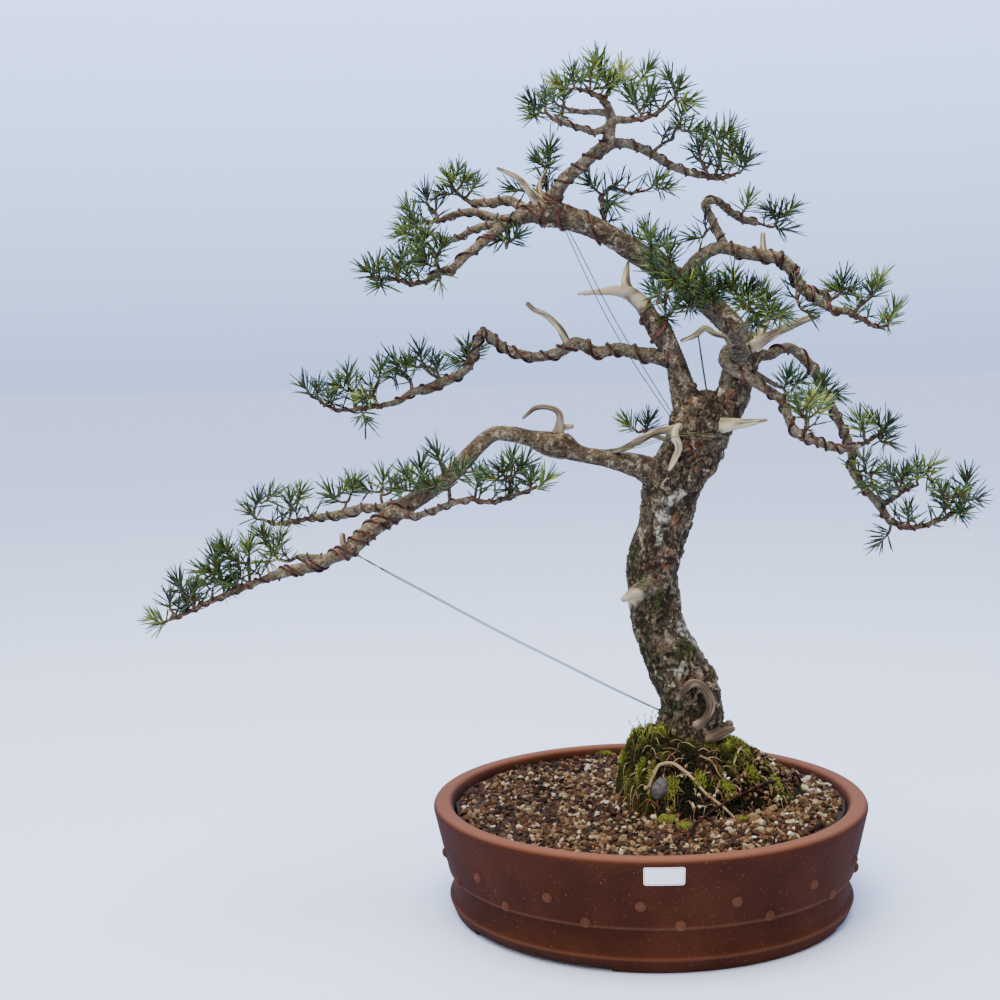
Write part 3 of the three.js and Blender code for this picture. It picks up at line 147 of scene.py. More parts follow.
print("a cloud's mean is", round(float(cloud(draw_of(1).random((2000, 3)) * 30).mean()), 2))

# %% [markdown]
# ## From numbers to pieces
#
# Twigs, wires, roots and needles are all long thin things that follow a line, so one function draws
# a tube along a line and the shapes of one piece are gathered before they become a mesh. Building
# the mesh from arrays is much faster in Blender than adding one operator after the other, and it
# lets each corner carry named values, such as how mossy the bark is there, for its material to read.

# %% Gathering shapes into a piece
class Gathered:
    """Triangles of one piece, with a material number for each face and named values for each corner."""

    def __init__(self, *names):
        self.names = names
        self.corners, self.faces, self.materials = [], [], []
        self.values = {name: [] for name in names}
        self.count = 0

    def add(self, corners, faces, material=0, **values):
        self.corners.append(corners)
        self.faces.append(faces + self.count)
        self.materials.append(np.full(len(faces), material))
        for name in self.names:
            self.values[name].append(np.broadcast_to(values.get(name, 0.0), len(corners)))
        self.count += len(corners)

    def piece(self, name, finishes, flat=False):
        values = {key: np.concatenate(rows) for key, rows in self.values.items()}
        return make_piece(name, np.concatenate(self.corners), np.concatenate(self.faces), finishes,
                          np.concatenate(self.materials), values, flat)


def make_piece(name, corners, faces, finishes, numbers=None, values=None, flat=False):
    """A mesh object from corners in millimetres and triangles."""
    mesh = bpy.data.meshes.new(name)
    mesh.vertices.add(len(corners))
    mesh.vertices.foreach_set("co", (corners * MM).astype(np.float32).ravel())
    mesh.loops.add(faces.size)
    mesh.loops.foreach_set("vertex_index", faces.astype(np.int32).ravel())
    mesh.polygons.add(len(faces))
    mesh.polygons.foreach_set("loop_start", np.arange(0, faces.size, 3, dtype=np.int32))
    mesh.polygons.foreach_set("use_smooth", np.full(len(faces), not flat))
    if numbers is not None:
        mesh.polygons.foreach_set("material_index", numbers.astype(np.int32))
    for key, row in (values or {}).items():
        attribute = mesh.attributes.new(key, "FLOAT", "POINT")
        attribute.data.foreach_set("value", np.ascontiguousarray(row, dtype=np.float32))
    mesh.update(calc_edges=True)
    for finish in finishes:
        mesh.materials.append(finish)
    made = bpy.data.objects.new(name, mesh)
    bpy.context.scene.collection.objects.link(made)
    print(name, "has", len(faces), "triangles")
    return made


def settle(piece, slot, *nodes):
    """The piece stands with the pot and the tree and may stand for nodes, which are hidden. The slot is not used."""
    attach(piece, "root")
    if nodes:
        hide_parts(*nodes)
    return piece


# %% Lines and tubes
def smooth_line(rows, step):
    """A soft curve through rows of x, y, z, radius, with a row about every step."""
    rows = np.asarray(rows, float)
    gaps = np.linalg.norm(np.diff(rows[:, :3], axis=0), axis=1)
    slope = np.gradient(rows, np.concatenate([[0], np.cumsum(gaps)]), axis=0)
    made = []
    for i, gap in enumerate(gaps):
        count = max(1, math.ceil(gap / step))
        t = (np.arange(count) / count)[:, None]
        made.append((2 * t**3 - 3 * t**2 + 1) * rows[i] + (t**3 - 2 * t**2 + t) * gap * slope[i]
                    + (3 * t**2 - 2 * t**3) * rows[i + 1] + (t**3 - t**2) * gap * slope[i + 1])
    made = np.concatenate([*made, rows[-1:]])
    made[:, 3] = np.maximum(made[:, 3], 0.25)
    return made


def carried_frames(points):
    """Along, side and other at each point of a line, turning no more than the line does."""
    along = np.gradient(points, axis=0)
    along /= np.linalg.norm(along, axis=1, keepdims=True)
    side = np.array([0.0, 0.0, 1.0]) if abs(along[0, 1]) > 0.8 else np.array([0.0, 1.0, 0.0])
    sides = []
    for direction in along:
        side = side - direction * (side @ direction)
        side = side / np.linalg.norm(side)
        sides.append(side)
    sides = np.array(sides)
    return along, sides, np.cross(along, sides)


def tube(rows, sides, relief=None):
    """A closed tube along rows of x, y, z, radius. relief holds mm to add, by ring and by side."""
    points = rows[:, :3]
    along, side, other = carried_frames(points)
    angle = np.arange(sides) * 2 * math.pi / sides
    reach = np.repeat(rows[:, 3:4], sides, axis=1)
    if relief is not None:
        reach = reach + relief
    rings = (points[:, None] + (reach * np.cos(angle))[..., None] * side[:, None]
             + (reach * np.sin(angle))[..., None] * other[:, None])
    first = points[0] - along[0] * rows[0, 3] * 0.3
    last = points[-1] + along[-1] * rows[-1, 3] * 0.6
    corners = np.concatenate([rings.reshape(-1, 3), [first, last]])
    k = np.arange(sides)
    a = (np.arange(len(rows) - 1)[:, None] * sides + k).ravel()
    b = (np.arange(len(rows) - 1)[:, None] * sides + (k + 1) % sides).ravel()
    end = (len(rows) - 1) * sides
    low, high = len(corners) - 2, len(corners) - 1
    faces = np.concatenate([
        np.stack([a, b, b + sides], axis=1), np.stack([a, b + sides, a + sides], axis=1),
        np.stack([np.full(sides, low), (k + 1) % sides, k], axis=1),
        np.stack([np.full(sides, high), end + k, end + (k + 1) % sides], axis=1),
    ])
    return corners, faces


def per_corner(rows, sides, values):
    """Values given for each row of a tube, spread to its corners and its two end points."""
    return np.concatenate([np.repeat(values, sides), [values[0], values[-1]]])


test = tube(smooth_line([[0, 0, 0, 5], [0, 0, 40, 4], [20, 0, 70, 3]], 4), 8)
print("a test tube has", len(test[1]), "triangles")

# %% [markdown]
# ## Colours and finishes
#
# Colours are written as they look on a screen, and one function turns them into the linear values
# that light is reckoned in. Every finish starts from Blender's Principled shader, and one function
# adds each node that feeds it.

# %% Colour, node and finish helpers
def linear(code):
    parts = [int(code[i:i + 2], 16) / 255 for i in (1, 3, 5)]
    return (*[p / 12.92 if p <= 0.04045 else ((p + 0.055) / 1.055) ** 2.4 for p in parts], 1.0)


def node(tree, kind, settings=None, values=None, links=None, stops=None):
    """Adds a shader node: its settings, socket values, links and, for a ramp, its (place, colour) stops."""
    made = tree.nodes.new("ShaderNode" + kind)
    for key, value in (settings or {}).items():
        setattr(made, key, value)
    for key, value in (values or {}).items():
        made.inputs[key].default_value = value
    for key, source in (links or {}).items():
        tree.links.new(source, made.inputs[key])
    if stops:
        ramp = made.color_ramp.elements
        while len(ramp) < len(stops):
            ramp.new(0.5)
        for element, (place, code) in zip(ramp, stops):
            element.position = place
            element.color = linear(code)
    return made


def finish(name, **sockets):
    """A new material. Gives the material, its tree and its Principled shader."""
    material = bpy.data.materials.new(name)
    material.use_nodes = True
    shader = material.node_tree.nodes["Principled BSDF"]
    for key, value in sockets.items():
        shader.inputs[key.replace("_", " ")].default_value = value
    return material, material.node_tree, shader


def per_mm(size):
    """The scale of a noise whose lumps are this many millimetres across, in object coordinates."""
    return 1 / (size * MM)


print("mid grey in light is", round(linear("#808080")[0], 3))

# %% [markdown]
# ## The wood
#
# An old scots pine grows bark in plates, deep on the trunk and fine as scales on the twigs, and the
# dead parts, stripped and bleached by the grower, have long grain and no bark. Each limb is a row of
# readings (right, down, behind, radius). The living limbs are fused into one skin by filling their
# tubes, as grown wood has no seams, and the bark is then raised and sunk on that skin.

# %% Where the limbs run
WOOD = {
    "trunk": [
        (690, 795, 0, 29), (690, 762, 0, 37), (689.5, 738, 0, 36), (689.5, 726, 0, 33.5), (693, 710, 0, 31),
        (689, 690, 1, 30.5), (679.5, 670, 2, 30), (668.5, 650, 3, 28.5), (660, 630, 4, 27.5),
        (655, 610, 4, 26.5), (652.7, 590, 4, 27), (653, 570, 4, 27), (657, 550, 3, 27), (662.5, 530, 2, 26),
        (666.5, 510, 1, 27), (671, 490, 0, 28.5), (680, 470, 0, 29), (692, 450, 0, 31), (698, 432, 0, 32),
        (703, 415, 0, 30), (706, 402, 0, 22),
    ],
    "left_leader": [
        (702, 432, 0, 24), (690, 408, 3, 17.5), (682, 388, 4, 13), (677, 367, 4, 11), (669, 347, 3, 10.5),
        (660, 331, 2, 12), (651, 319, 0, 9.5), (645, 308, 0, 8.5), (632, 295, 0, 7.5), (618, 291, -6, 5.5),
        (598, 292, -12, 3.4), (578, 294, -18, 1.5),
    ],
    "left_leader_jin": [
        (636, 298, 0, 6), (626, 286, 3, 5), (626, 275, 8, 3.6), (628, 262, 14, 1.5),
    ],
    "right_leader": [
        (706, 430, 0, 24), (723, 412, 0, 19), (733, 395, 0, 17), (738, 376, 0, 17), (744, 357, 0, 17),
        (749, 344, -3, 13), (752, 335, -5, 8),
    ],
    "upper_limb": [
        (742, 362, 9, 13), (740, 342, 22, 13), (732, 327, 33, 13), (701, 297, 38, 12), (671, 275, 28, 12),
        (640, 255, 15, 12), (610, 236, 4, 11), (580, 222, 0, 11.5), (561, 216, 0, 13), (545, 212, 0, 14.5),
        (529, 214, -2, 9.5), (515, 219, -4, 7.5), (503, 226, -9, 5.8), (490, 236, -15, 5.2),
        (477, 247, -21, 5), (465, 256, -27, 4.6), (453, 268, -33, 4.5), (439, 273, -39, 4),
        (427, 281, -45, 3.4),
    ],
    "lower_limb": [
        (676, 486, 0, 17), (656, 474, -2, 15), (634, 465, -6, 12), (608, 459, -14, 9), (578, 453, -18, 9),
        (562, 446, -21, 13.5), (546, 443, -24, 12), (530, 438, -27, 8.5), (510, 434, -30, 8),
        (494, 434, -33, 7.5), (480, 444, -38, 8), (467, 458, -42, 8.5), (448, 478, -48, 8),
        (423, 495, -54, 8.8), (398, 511, -60, 9.5), (380, 523, -64, 9), (364, 536, -70, 8.5),
        (350, 549, -75, 8), (333, 557, -80, 6.5), (314, 566, -84, 6), (293, 570, -87, 5.5),
        (270, 577, -90, 5),
    ],
    "lower_limb_second": [
        (338, 556, -75, 5), (324, 558, -66, 3.8), (309, 557, -57, 3.4), (297, 557, -51, 2.8),
    ],
    "lower_limb_side": [
        (412, 502, -51, 5.5), (397, 504, -39, 5), (381, 508, -27, 4.8), (362, 508, -15, 4.6),
        (345, 514, -4, 5.4), (329, 516, 4, 4.4), (314, 518, 12, 4),
    ],
    "lower_limb_return": [
        (400, 512, -63, 6), (414, 516, -81, 3.6), (432, 511, -93, 3.4), (453, 503, -105, 3.2),
        (470, 499, -114, 3),
    ],
    "hook": [
        (556, 438, -21, 7), (560, 424, -22, 4.5), (559, 413, -24, 3.6), (549, 408, -26, 3),
        (536, 408, -27, 2.8), (523, 418, -30, 1.8),
    ],
    "hook_stub": [
        (560, 428, -21, 3.4), (573, 426, -24, 2.4),
    ],
    "lower_limb_stub": [
        (348, 553, -75, 4), (343, 543, -75, 3.2), (342, 534, -75, 2.6),
    ],
    "dead_twig": [
        (680, 429, -18, 4.4), (656, 432, -27, 3.8), (640, 440, -26, 3.6), (625, 448, -21, 3.2),
        (601, 453, -12, 2),
    ],
    "middle_limb": [
        (676, 362, 0, 9.5), (655, 356, 3, 8), (636, 353, 9, 7), (618, 349, 15, 6.5), (597, 352, 21, 6),
        (576, 343, 27, 6.5), (559, 352, 33, 6), (538, 357, 39, 5.2), (520, 354, 44, 5), (504, 348, 48, 5),
        (482, 333, 54, 5), (475, 352, 58, 4.8), (468, 367, 60, 4.6), (455, 377, 62, 5), (440, 383, 63, 5.5),
        (428, 389, 63, 5.5), (413, 392, 64, 4), (397, 402, 66, 3.6), (383, 405, 66, 3.4),
    ],
    "middle_limb_jin": [
        (569, 347, 30, 5), (558, 327, 27, 3.4), (545, 315, 24, 3), (533, 309, 21, 2.6), (527, 303, 20, 2.2),
    ],
    "knot_jin_left": [
        (543, 208, -3, 8), (533, 196, -8, 4.6), (519, 179, -12, 3), (497, 168, -15, 1.3),
    ],
    "knot_jin_upright": [
        (545, 204, 6, 6), (539, 190, 12, 3.6), (547, 169, 16, 1.4),
    ],
    "upper_middle": [
        (514, 220, -2, 6.4), (498, 219, 12, 5), (485, 215, 22, 4.5), (472, 212, 30, 4.2), (457, 214, 38, 4),
        (443, 219, 44, 3.6),
    ],
    "upper_low": [
        (500, 226, -6, 5), (485, 226, 8, 4.2), (470, 231, 14, 3.8), (458, 238, 16, 3.6),
        (444, 239, 18, 3.4), (431, 233, 18, 2.8),
    ],
    "upper_top": [
        (530, 213, 3, 7.5), (520, 206, 14, 5.5), (508, 200, 22, 5), (496, 202, 30, 4.8),
        (484, 203, 38, 4.6), (472, 203, 44, 4),
    ],
    "apex_stem": [
        (546, 210, 0, 11), (556, 193, -6, 7.5), (566, 178, -12, 7), (580, 167, -16, 6.5),
        (594, 154, -21, 6.5), (607, 144, -26, 7.5), (610, 130, -28, 5.5), (611, 117, -32, 5),
        (606, 103, -36, 4.2),
    ],
    "apex_left": [
        (609, 127, -28, 4.4), (594, 132, -36, 3.6), (578, 127, -44, 3.2), (564, 123, -50, 3),
        (552, 118, -54, 2.6),
    ],
    "apex_back": [
        (610, 114, -32, 4.2), (596, 112, -16, 3.4), (582, 112, -4, 3), (570, 110, 4, 2.6),
    ],
    "apex_right": [
        (610, 119, -30, 4.4), (621, 120, -36, 3.8), (632, 120, -39, 3.4),
    ],
    "crown_limb": [
        (606, 145, -24, 6.5), (622, 143, -18, 5), (638, 147, -14, 4.7), (652, 154, -9, 4.6),
        (666, 163, -4, 4.4), (682, 170, 0, 4.2), (700, 175, 4, 4),
    ],
    "right_branch": [
        (682, 284, 30, 10), (692, 268, 22, 8.5), (703, 255, 16, 7), (718, 248, 12, 6.5), (734, 250, 8, 6.5),
        (750, 254, 3, 6.5), (766, 256, 0, 6.5), (782, 260, -4, 6.5), (793, 272, -9, 6),
        (801, 287, -14, 5.5), (815, 298, -18, 5), (832, 309, -22, 4), (848, 312, -27, 3.6),
    ],
    "right_branch_stub": [
        (763, 256, 0, 4.4), (763, 243, 0, 3.2), (763, 233, 0, 2.6),
    ],
    "right_branch_pair": [
        (805, 290, -15, 4.4), (819, 292, 0, 3.2), (832, 299, 12, 2.7),
    ],
    "right_branch_upper": [
        (725, 249, 12, 5.8), (718, 232, 27, 4.8), (710, 216, 36, 4.6), (705, 204, 42, 4.5),
        (716, 200, 48, 4.3), (728, 210, 54, 4.2), (742, 219, 60, 4.2), (757, 223, 66, 4),
    ],
    "front_twigs": [
        (742, 356, -12, 9), (735, 338, -39, 5.4), (722, 324, -57, 4.4), (711, 311, -69, 3.8),
    ],
    "pale_twig": [
        (745, 347, -4, 8), (728, 337, -8, 3.6), (714, 333, -10, 3.2), (705, 328, -11, 3),
        (697, 334, -12, 3), (681, 341, -14, 1.8),
    ],
    "front_twigs_right": [
        (736, 341, -38, 5), (744, 329, -57, 4.2), (750, 320, -72, 3.6),
    ],
    "spike": [
        (708, 428, -14, 13), (727, 425, -28, 7.5), (745, 423, -34, 5), (767, 420, -40, 1.6),
    ],
    "strip": [
        (679, 398, -6, 5.5), (675, 423, -30, 4.4), (676, 445, -36, 4.4), (676, 460, -34, 3.6),
        (668, 475, -30, 1.6),
    ],
    "right_jin": [
        (746, 350, -6, 10), (768, 337, -12, 5.5), (790, 326, -18, 4), (819, 315, -24, 2.6),
    ],
    "right_jin_upright": [
        (756, 342, -3, 6), (768, 318, 8, 3.6), (775, 297, 14, 1.5),
    ],
    "falling_branch": [
        (742, 352, -12, 10), (726, 353, -30, 6.4), (724, 362, -36, 5.6), (732, 369, -40, 5.5),
        (745, 375, -46, 5.5), (758, 384, -52, 5.2), (771, 392, -58, 5), (783, 402, -63, 5),
        (787, 414, -66, 4.7), (793, 428, -69, 4.5), (803, 437, -72, 4.8), (817, 441, -75, 4.3),
        (830, 447, -75, 3.7), (846, 449, -75, 3.4), (860, 445, -75, 3.2),
    ],
    "outer_branch": [
        (744, 358, 9, 11), (758, 355, 14, 6.6), (770, 355, 16, 5.6), (780, 349, 20, 5.5),
        (790, 348, 21, 5.5), (802, 357, 22, 5.5), (812, 368, 22, 5.4), (820, 382, 22, 5),
        (826, 397, 21, 4.8), (834, 411, 20, 4.7), (841, 426, 16, 4.6), (848, 441, 14, 4.6),
        (852, 456, 9, 4.6), (852, 468, 4, 4.4), (858, 480, 0, 4.3), (869, 493, -3, 4.3),
        (881, 508, -4, 4.2), (890, 521, -6, 4),
    ],
    "third_twig": [
        (748, 372, 12, 6), (763, 378, 30, 3.2), (777, 386, 42, 2.7),
    ],
    "back_twig": [
        (688, 446, 14, 9), (668, 440, 52, 3.4), (652, 435, 81, 2.6),
    ],
    "trunk_stub": [
        (658, 583, -12, 11), (640, 590, -26, 7.5), (622, 600, -34, 3),
    ],
    "base_loop": [
        (690, 729, -22, 7), (705, 719, -34, 5.6), (711, 706, -36, 5.4), (706, 691, -37, 5.2),
        (694, 683, -36, 5.4), (684, 691, -36, 4.6), (677, 700, -36, 3),
    ],
    "root_spur": [
        (700, 742, -16, 11), (717, 735, -30, 7), (734, 728, -36, 2.5),
    ],
    "root_nub": [
        (716, 738, 0, 9), (724, 730, -2, 6), (731, 722, -4, 4),
    ],
}
DEAD = (
    "left_leader_jin", "hook", "hook_stub", "lower_limb_stub", "dead_twig", "middle_limb_jin",
    "knot_jin_left", "knot_jin_upright", "right_branch_stub", "spike", "strip", "right_jin",
    "right_jin_upright", "pale_twig", "base_loop", "root_spur",
)
OLD_WOOD = ("trunk", "left_leader", "right_leader", "root_nub", "trunk_stub")


def limb(name, step=3.0):
    """A limb's smooth line as rows of x, y, z, radius."""
    return smooth_line([[*seen(*row[:3]), row[3]] for row in WOOD[name]], step)


def sighting(points):
    """Where points are seen on the upright square: mm right and mm down."""
    apart = points - EYE
    depth = apart[:, 1] * math.cos(PITCH) - apart[:, 2] * math.sin(PITCH)
    rise = apart[:, 1] * math.sin(PITCH) + apart[:, 2] * math.cos(PITCH)
    x = SIGHT * apart[:, 0] / depth
    y = -SIGHT * rise / depth
    return (500 + math.cos(ROLL) * x - math.sin(ROLL) * y,
            500 + math.sin(ROLL) * x + math.cos(ROLL) * y)


print("the point read at 652, 590 is seen at", [round(float(v[0]), 1)
                                               for v in sighting(seen(652, 590, 4)[None])])

# %% Fused skin and raised bark
def fused(names, voxel, sides, passes=3):
    """The limbs as one skin: corners and faces in mm, and the outward direction at each corner."""
    raw = Gathered()
    for name in names:
        raw.add(*tube(limb(name), sides))
    rough = raw.piece("rough", [])
    fill = rough.modifiers.new("fill", "REMESH")
    fill.mode = "VOXEL"
    fill.voxel_size = voxel * MM
    soften = rough.modifiers.new("soften", "SMOOTH")
    soften.iterations = passes
    shape = rough.evaluated_get(bpy.context.evaluated_depsgraph_get()).to_mesh()
    shape.calc_loop_triangles()
    corners = np.empty(len(shape.vertices) * 3, np.float32)
    shape.vertices.foreach_get("co", corners)
    outward = np.empty(len(shape.vertices) * 3, np.float32)
    shape.vertices.foreach_get("normal", outward)
    faces = np.empty(len(shape.loop_triangles) * 3, np.int32)
    shape.loop_triangles.foreach_get("vertices", faces)
    bpy.data.objects.remove(rough)
    return corners.reshape(-1, 3) / MM, outward.reshape(-1, 3), faces.reshape(-1, 3)


def girth_at(corners, names):
    """The radius of the limb that each corner lies on."""
    samples = np.concatenate([limb(name, 5) for name in names])
    girth = np.empty(len(corners))
    for i in range(0, len(corners), 3000):
        part = corners[i:i + 3000, None]
        far = np.linalg.norm(part - samples[None, :, :3], axis=2) - samples[:, 3]
        girth[i:i + 3000] = samples[far.argmin(axis=1), 3]
    return girth


def spots(points, patches, wobble=5.0, seed=61):
    """From 0 to 1: how far inside any of the patches (right, down, half width, half height) each lies."""
    right, down = sighting(points)
    right = right + wobble * 2 * (cloud(points / 7, seed) - 0.5)
    down = down + wobble * 2 * (cloud(points / 7, seed + 1) - 0.5)
    share = np.zeros(len(points))
    for x, y, wide, high in patches:
        share = np.maximum(share, 1 - eased(np.hypot((right - x) / wide, (down - y) / high), 0.55, 1.15))
    return share


def bark(corners, outward, names, stretch, bare):
    """Bark on a skin, save where it is bare: the moved corners and the values that its finish reads."""
    girth = girth_at(corners, names)
    old = eased(girth, 7, 24) * (1 - 0.8 * bare)
    shift = np.stack([cloud(corners / 10, seed) - 0.5 for seed in (41, 42, 43)], axis=1) * 11
    shift += np.stack([cloud(corners / 3.2, seed) - 0.5 for seed in (44, 45, 46)], axis=1) * 5
    warped = (corners + shift) / np.array(stretch)
    gap, plate = plates(warped / 8.0, 11)
    small_gap, small_plate = plates(warped / 3.7, 23)
    lumps = cloud(corners / 26, 51) - 0.5
    lift = old * (1.1 * eased(gap, 0.0, 0.22) + 2.9 * (plate - 0.5) - 1.1 + 3.4 * lumps)
    lift += (0.42 + 0.58 * old) * (0.5 * eased(small_gap, 0.0, 0.3) + 1.7 * (small_plate - 0.5) - 0.4)
    # Dark fissures between plates: partly the bark's own darker colour, partly painted shade in the fissures.
    crack_and_painted_shade = np.maximum(old * (1 - eased(gap, 0.02, 0.2)), 0.7 * (1 - eased(small_gap, 0.0, 0.2)))
    # Plates that sit low are darkened too: painted shade in the recesses.
    low = old * (1 - eased(0.6 * plate + 0.4 * small_plate, 0.18, 0.4))
    return corners + outward * lift[:, None], {
        "crack_and_painted_shade": np.clip(crack_and_painted_shade + 0.55 * low, 0, 1) * (1 - bare), "plate": 0.35 * plate + 0.65 * small_plate,
        "girth": girth, "bare": bare}


# %% Bark and deadwood finishes
def bark_finish():
    material, tree, shader = finish("scots pine bark", Roughness=0.95, Specular_IOR_Level=0.22)
    value = {name: node(tree, "Attribute", {"attribute_name": name}).outputs["Fac"]
             for name in ("crack_and_painted_shade", "plate", "moss", "lichen", "rust", "pale", "bare")}
    place = node(tree, "TexCoord").outputs["Object"]
    grains = node(tree, "TexNoise", values={"Scale": per_mm(1.6), "Detail": 4.0, "Roughness": 0.7},
                  links={"Vector": place}).outputs["Fac"]
    drift = node(tree, "TexNoise", values={"Scale": per_mm(14), "Detail": 3.0, "Roughness": 0.6},
                 links={"Vector": place}).outputs["Fac"]
    shade = node(tree, "Math", {"operation": "MULTIPLY_ADD"}, {1: 0.62},
                 {0: value["plate"], 2: node(tree, "Math", {"operation": "MULTIPLY_ADD"}, {1: 0.9, 2: -0.26},
                                             {0: grains}).outputs[0]}).outputs[0]
    tone = node(tree, "ValToRGB", links={"Fac": shade}, stops=[
        (0.08, "#1a120c"), (0.3, "#392a1e"), (0.5, "#564937"), (0.68, "#776a54"), (0.82, "#aba08a"),
        (0.95, "#d8d1c1")])
    layer = tone.outputs["Color"]
    for share, code in (
        (node(tree, "Math", {"operation": "MULTIPLY"}, {1: 0.4}, {
            0: node(tree, "MapRange", values={"From Min": 0.5, "From Max": 0.66},
                    links={"Value": drift}).outputs[0]}).outputs[0], "#553f29"),
        (value["rust"], "#6b3d22"),
        (value["pale"], "#6d6855"),
        (value["lichen"], "#b4b3a0"),
        (value["moss"], "#2f3a12"),
        (value["bare"], "#a6987c"),
    ):
        layer = node(tree, "Mix", {"data_type": "RGBA"}, {7: linear(code)},
                     {0: share, 6: layer}).outputs[2]
    # This value darkens the bark: fissure colour, with painted shade in the fissures, on sunk plates and on undersides.
    dark = node(tree, "Math", {"operation": "MULTIPLY"}, {1: 0.86}, {0: value["crack_and_painted_shade"]}).outputs[0]
    layer = node(tree, "Mix", {"data_type": "RGBA"}, {7: linear("#17110c")},
                 {0: dark, 6: layer}).outputs[2]
    tree.links.new(layer, shader.inputs["Base Color"])
    rough = node(tree, "Bump", values={"Strength": 0.7, "Distance": 0.0007}, links={"Height": grains})
    tree.links.new(rough.outputs[0], shader.inputs["Normal"])
    return material


def deadwood_finish():
    material, tree, shader = finish("bleached deadwood", Roughness=0.85, Specular_IOR_Level=0.3)
    value = {name: node(tree, "Attribute", {"attribute_name": name}).outputs["Fac"]
             for name in ("grain", "tone")}
    tone = node(tree, "ValToRGB", links={"Fac": value["tone"]}, stops=[
        (0.0, "#2f241a"), (0.3, "#5a4a39"), (0.55, "#83745c"), (0.8, "#a79a79"), (1.0, "#c2b891")])
    # Darkened by the furrow value: partly dark grain, partly painted shade in the furrows.
    layer = node(tree, "Mix", {"data_type": "RGBA"}, {7: linear("#3a2d1f")},
                 {0: value["grain"], 6: tone.outputs["Color"]}).outputs[2]
    tree.links.new(layer, shader.inputs["Base Color"])
    place = node(tree, "TexCoord").outputs["Object"]
    fibres = node(tree, "TexNoise", values={"Scale": per_mm(1.2), "Detail": 3.0}, links={"Vector": place})
    rough = node(tree, "Bump", values={"Strength": 0.4, "Distance": 0.0003},
                 links={"Height": fibres.outputs["Fac"]})
    tree.links.new(rough.outputs[0], shader.inputs["Normal"])
    return material


bark_material = bark_finish()
deadwood_material = deadwood_finish()
print("finishes:", bark_material.name, "and", deadwood_material.name)

# %% [markdown]
# ## Trunk and leaders
#
# The trunk's bark carries dark moss where rain runs down its left side, pale lichen scabs, and rust
# coloured patches where plates have lately dropped off. These are given as places on the trunk.

# %% The old wood
MOSS_SPOTS = [(634, 556, 9, 16), (640, 575, 8, 10), (662, 602, 17, 12), (645, 632, 9, 20),
              (655, 665, 9, 22), (686, 652, 13, 15), (672, 700, 12, 16), (706, 712, 12, 14)]
RUST_SPOTS = [(695, 447, 10, 9), (648, 567, 7, 9), (676, 520, 8, 13), (700, 470, 8, 12),
              (668, 560, 7, 12), (712, 690, 8, 12), (690, 400, 9, 12), (728, 402, 8, 14)]
LICHEN_SPOTS = [(678, 494, 9, 6), (668, 500, 6, 7), (659, 537, 5, 11), (684, 627, 6, 11), (681, 671, 8, 7),
                (664, 514, 6, 8), (692, 640, 4, 8)]
BARE_SPOTS = [(596, 292, 46, 14), (640, 300, 11, 10), (626, 600, 12, 9), (636, 594, 9, 8)]


def bark_piece(name, names, voxel, sides, stretch):
    corners, outward, faces = fused(names, voxel, sides)
    bare = spots(corners, BARE_SPOTS, 2.5, seed=67) if "trunk" in names else np.zeros(len(corners))
    moved, values = bark(corners, outward, names, stretch, bare)
    girth = values.pop("girth")
    # How far each corner faces down, added below to the value that darkens cracks, as painted shade on the undersides.
    shade = np.clip(-outward[:, 2], 0, 1)
    values["moss"] = spots(corners, MOSS_SPOTS, seed=61) * eased(cloud(corners / 3.4, 71), 0.25, 0.6) * 0.92
    values["rust"] = spots(corners, RUST_SPOTS, seed=63) * eased(cloud(corners / 6, 72), 0.3, 0.6) * 0.8
    values["lichen"] = spots(corners, LICHEN_SPOTS, seed=65) * 0.85
    thin = 1 - eased(girth, 5, 10)
    values["pale"] = 0.7 * thin * eased(cloud(corners / 3, 73), 0.3, 0.7) + 0.3 * eased(cloud(corners / 12, 74), 0.62, 0.8)
    values["crack_and_painted_shade"] = np.clip(values["crack_and_painted_shade"] + 0.25 * shade, 0, 1)
    return make_piece(name, moved, faces, [bark_material], values=values)


trunk = settle(bark_piece("trunk_and_leaders", OLD_WOOD, 1.22, 28, (1, 1, 1.9)), "pine_bark", "tree_wood")

# %% The living limbs
YOUNG_WOOD = [name for name in WOOD if name not in DEAD and name not in OLD_WOOD]
limbs = settle(bark_piece("living_limbs", YOUNG_WOOD, 1.37, 18, (1.5, 1, 1)), "pine_bark", "tree_wood")

# %% [markdown]
# ## Deadwood
#
# Jins are dead twigs left as grey or cream spikes. Bare wood weathers along its grain, so each is a
# tube whose surface is drawn into long furrows and whose tip is worn thin.

# %% The dead twigs, hook, spike, stub and root loop
PALENESS = {
    "spike": 0.9, "strip": 0.82, "pale_twig": 0.75, "left_leader_jin": 0.7, "middle_limb_jin": 0.62,
    "knot_jin_left": 0.62, "knot_jin_upright": 0.6, "dead_twig": 0.5, "hook": 0.48, "hook_stub": 0.5,
    "base_loop": 0.42, "root_spur": 0.44, "lower_limb_stub": 0.5,
}
SLIMNESS = {"base_loop": 0.8, "strip": 0.88, "spike": 0.9, "hook": 0.9}


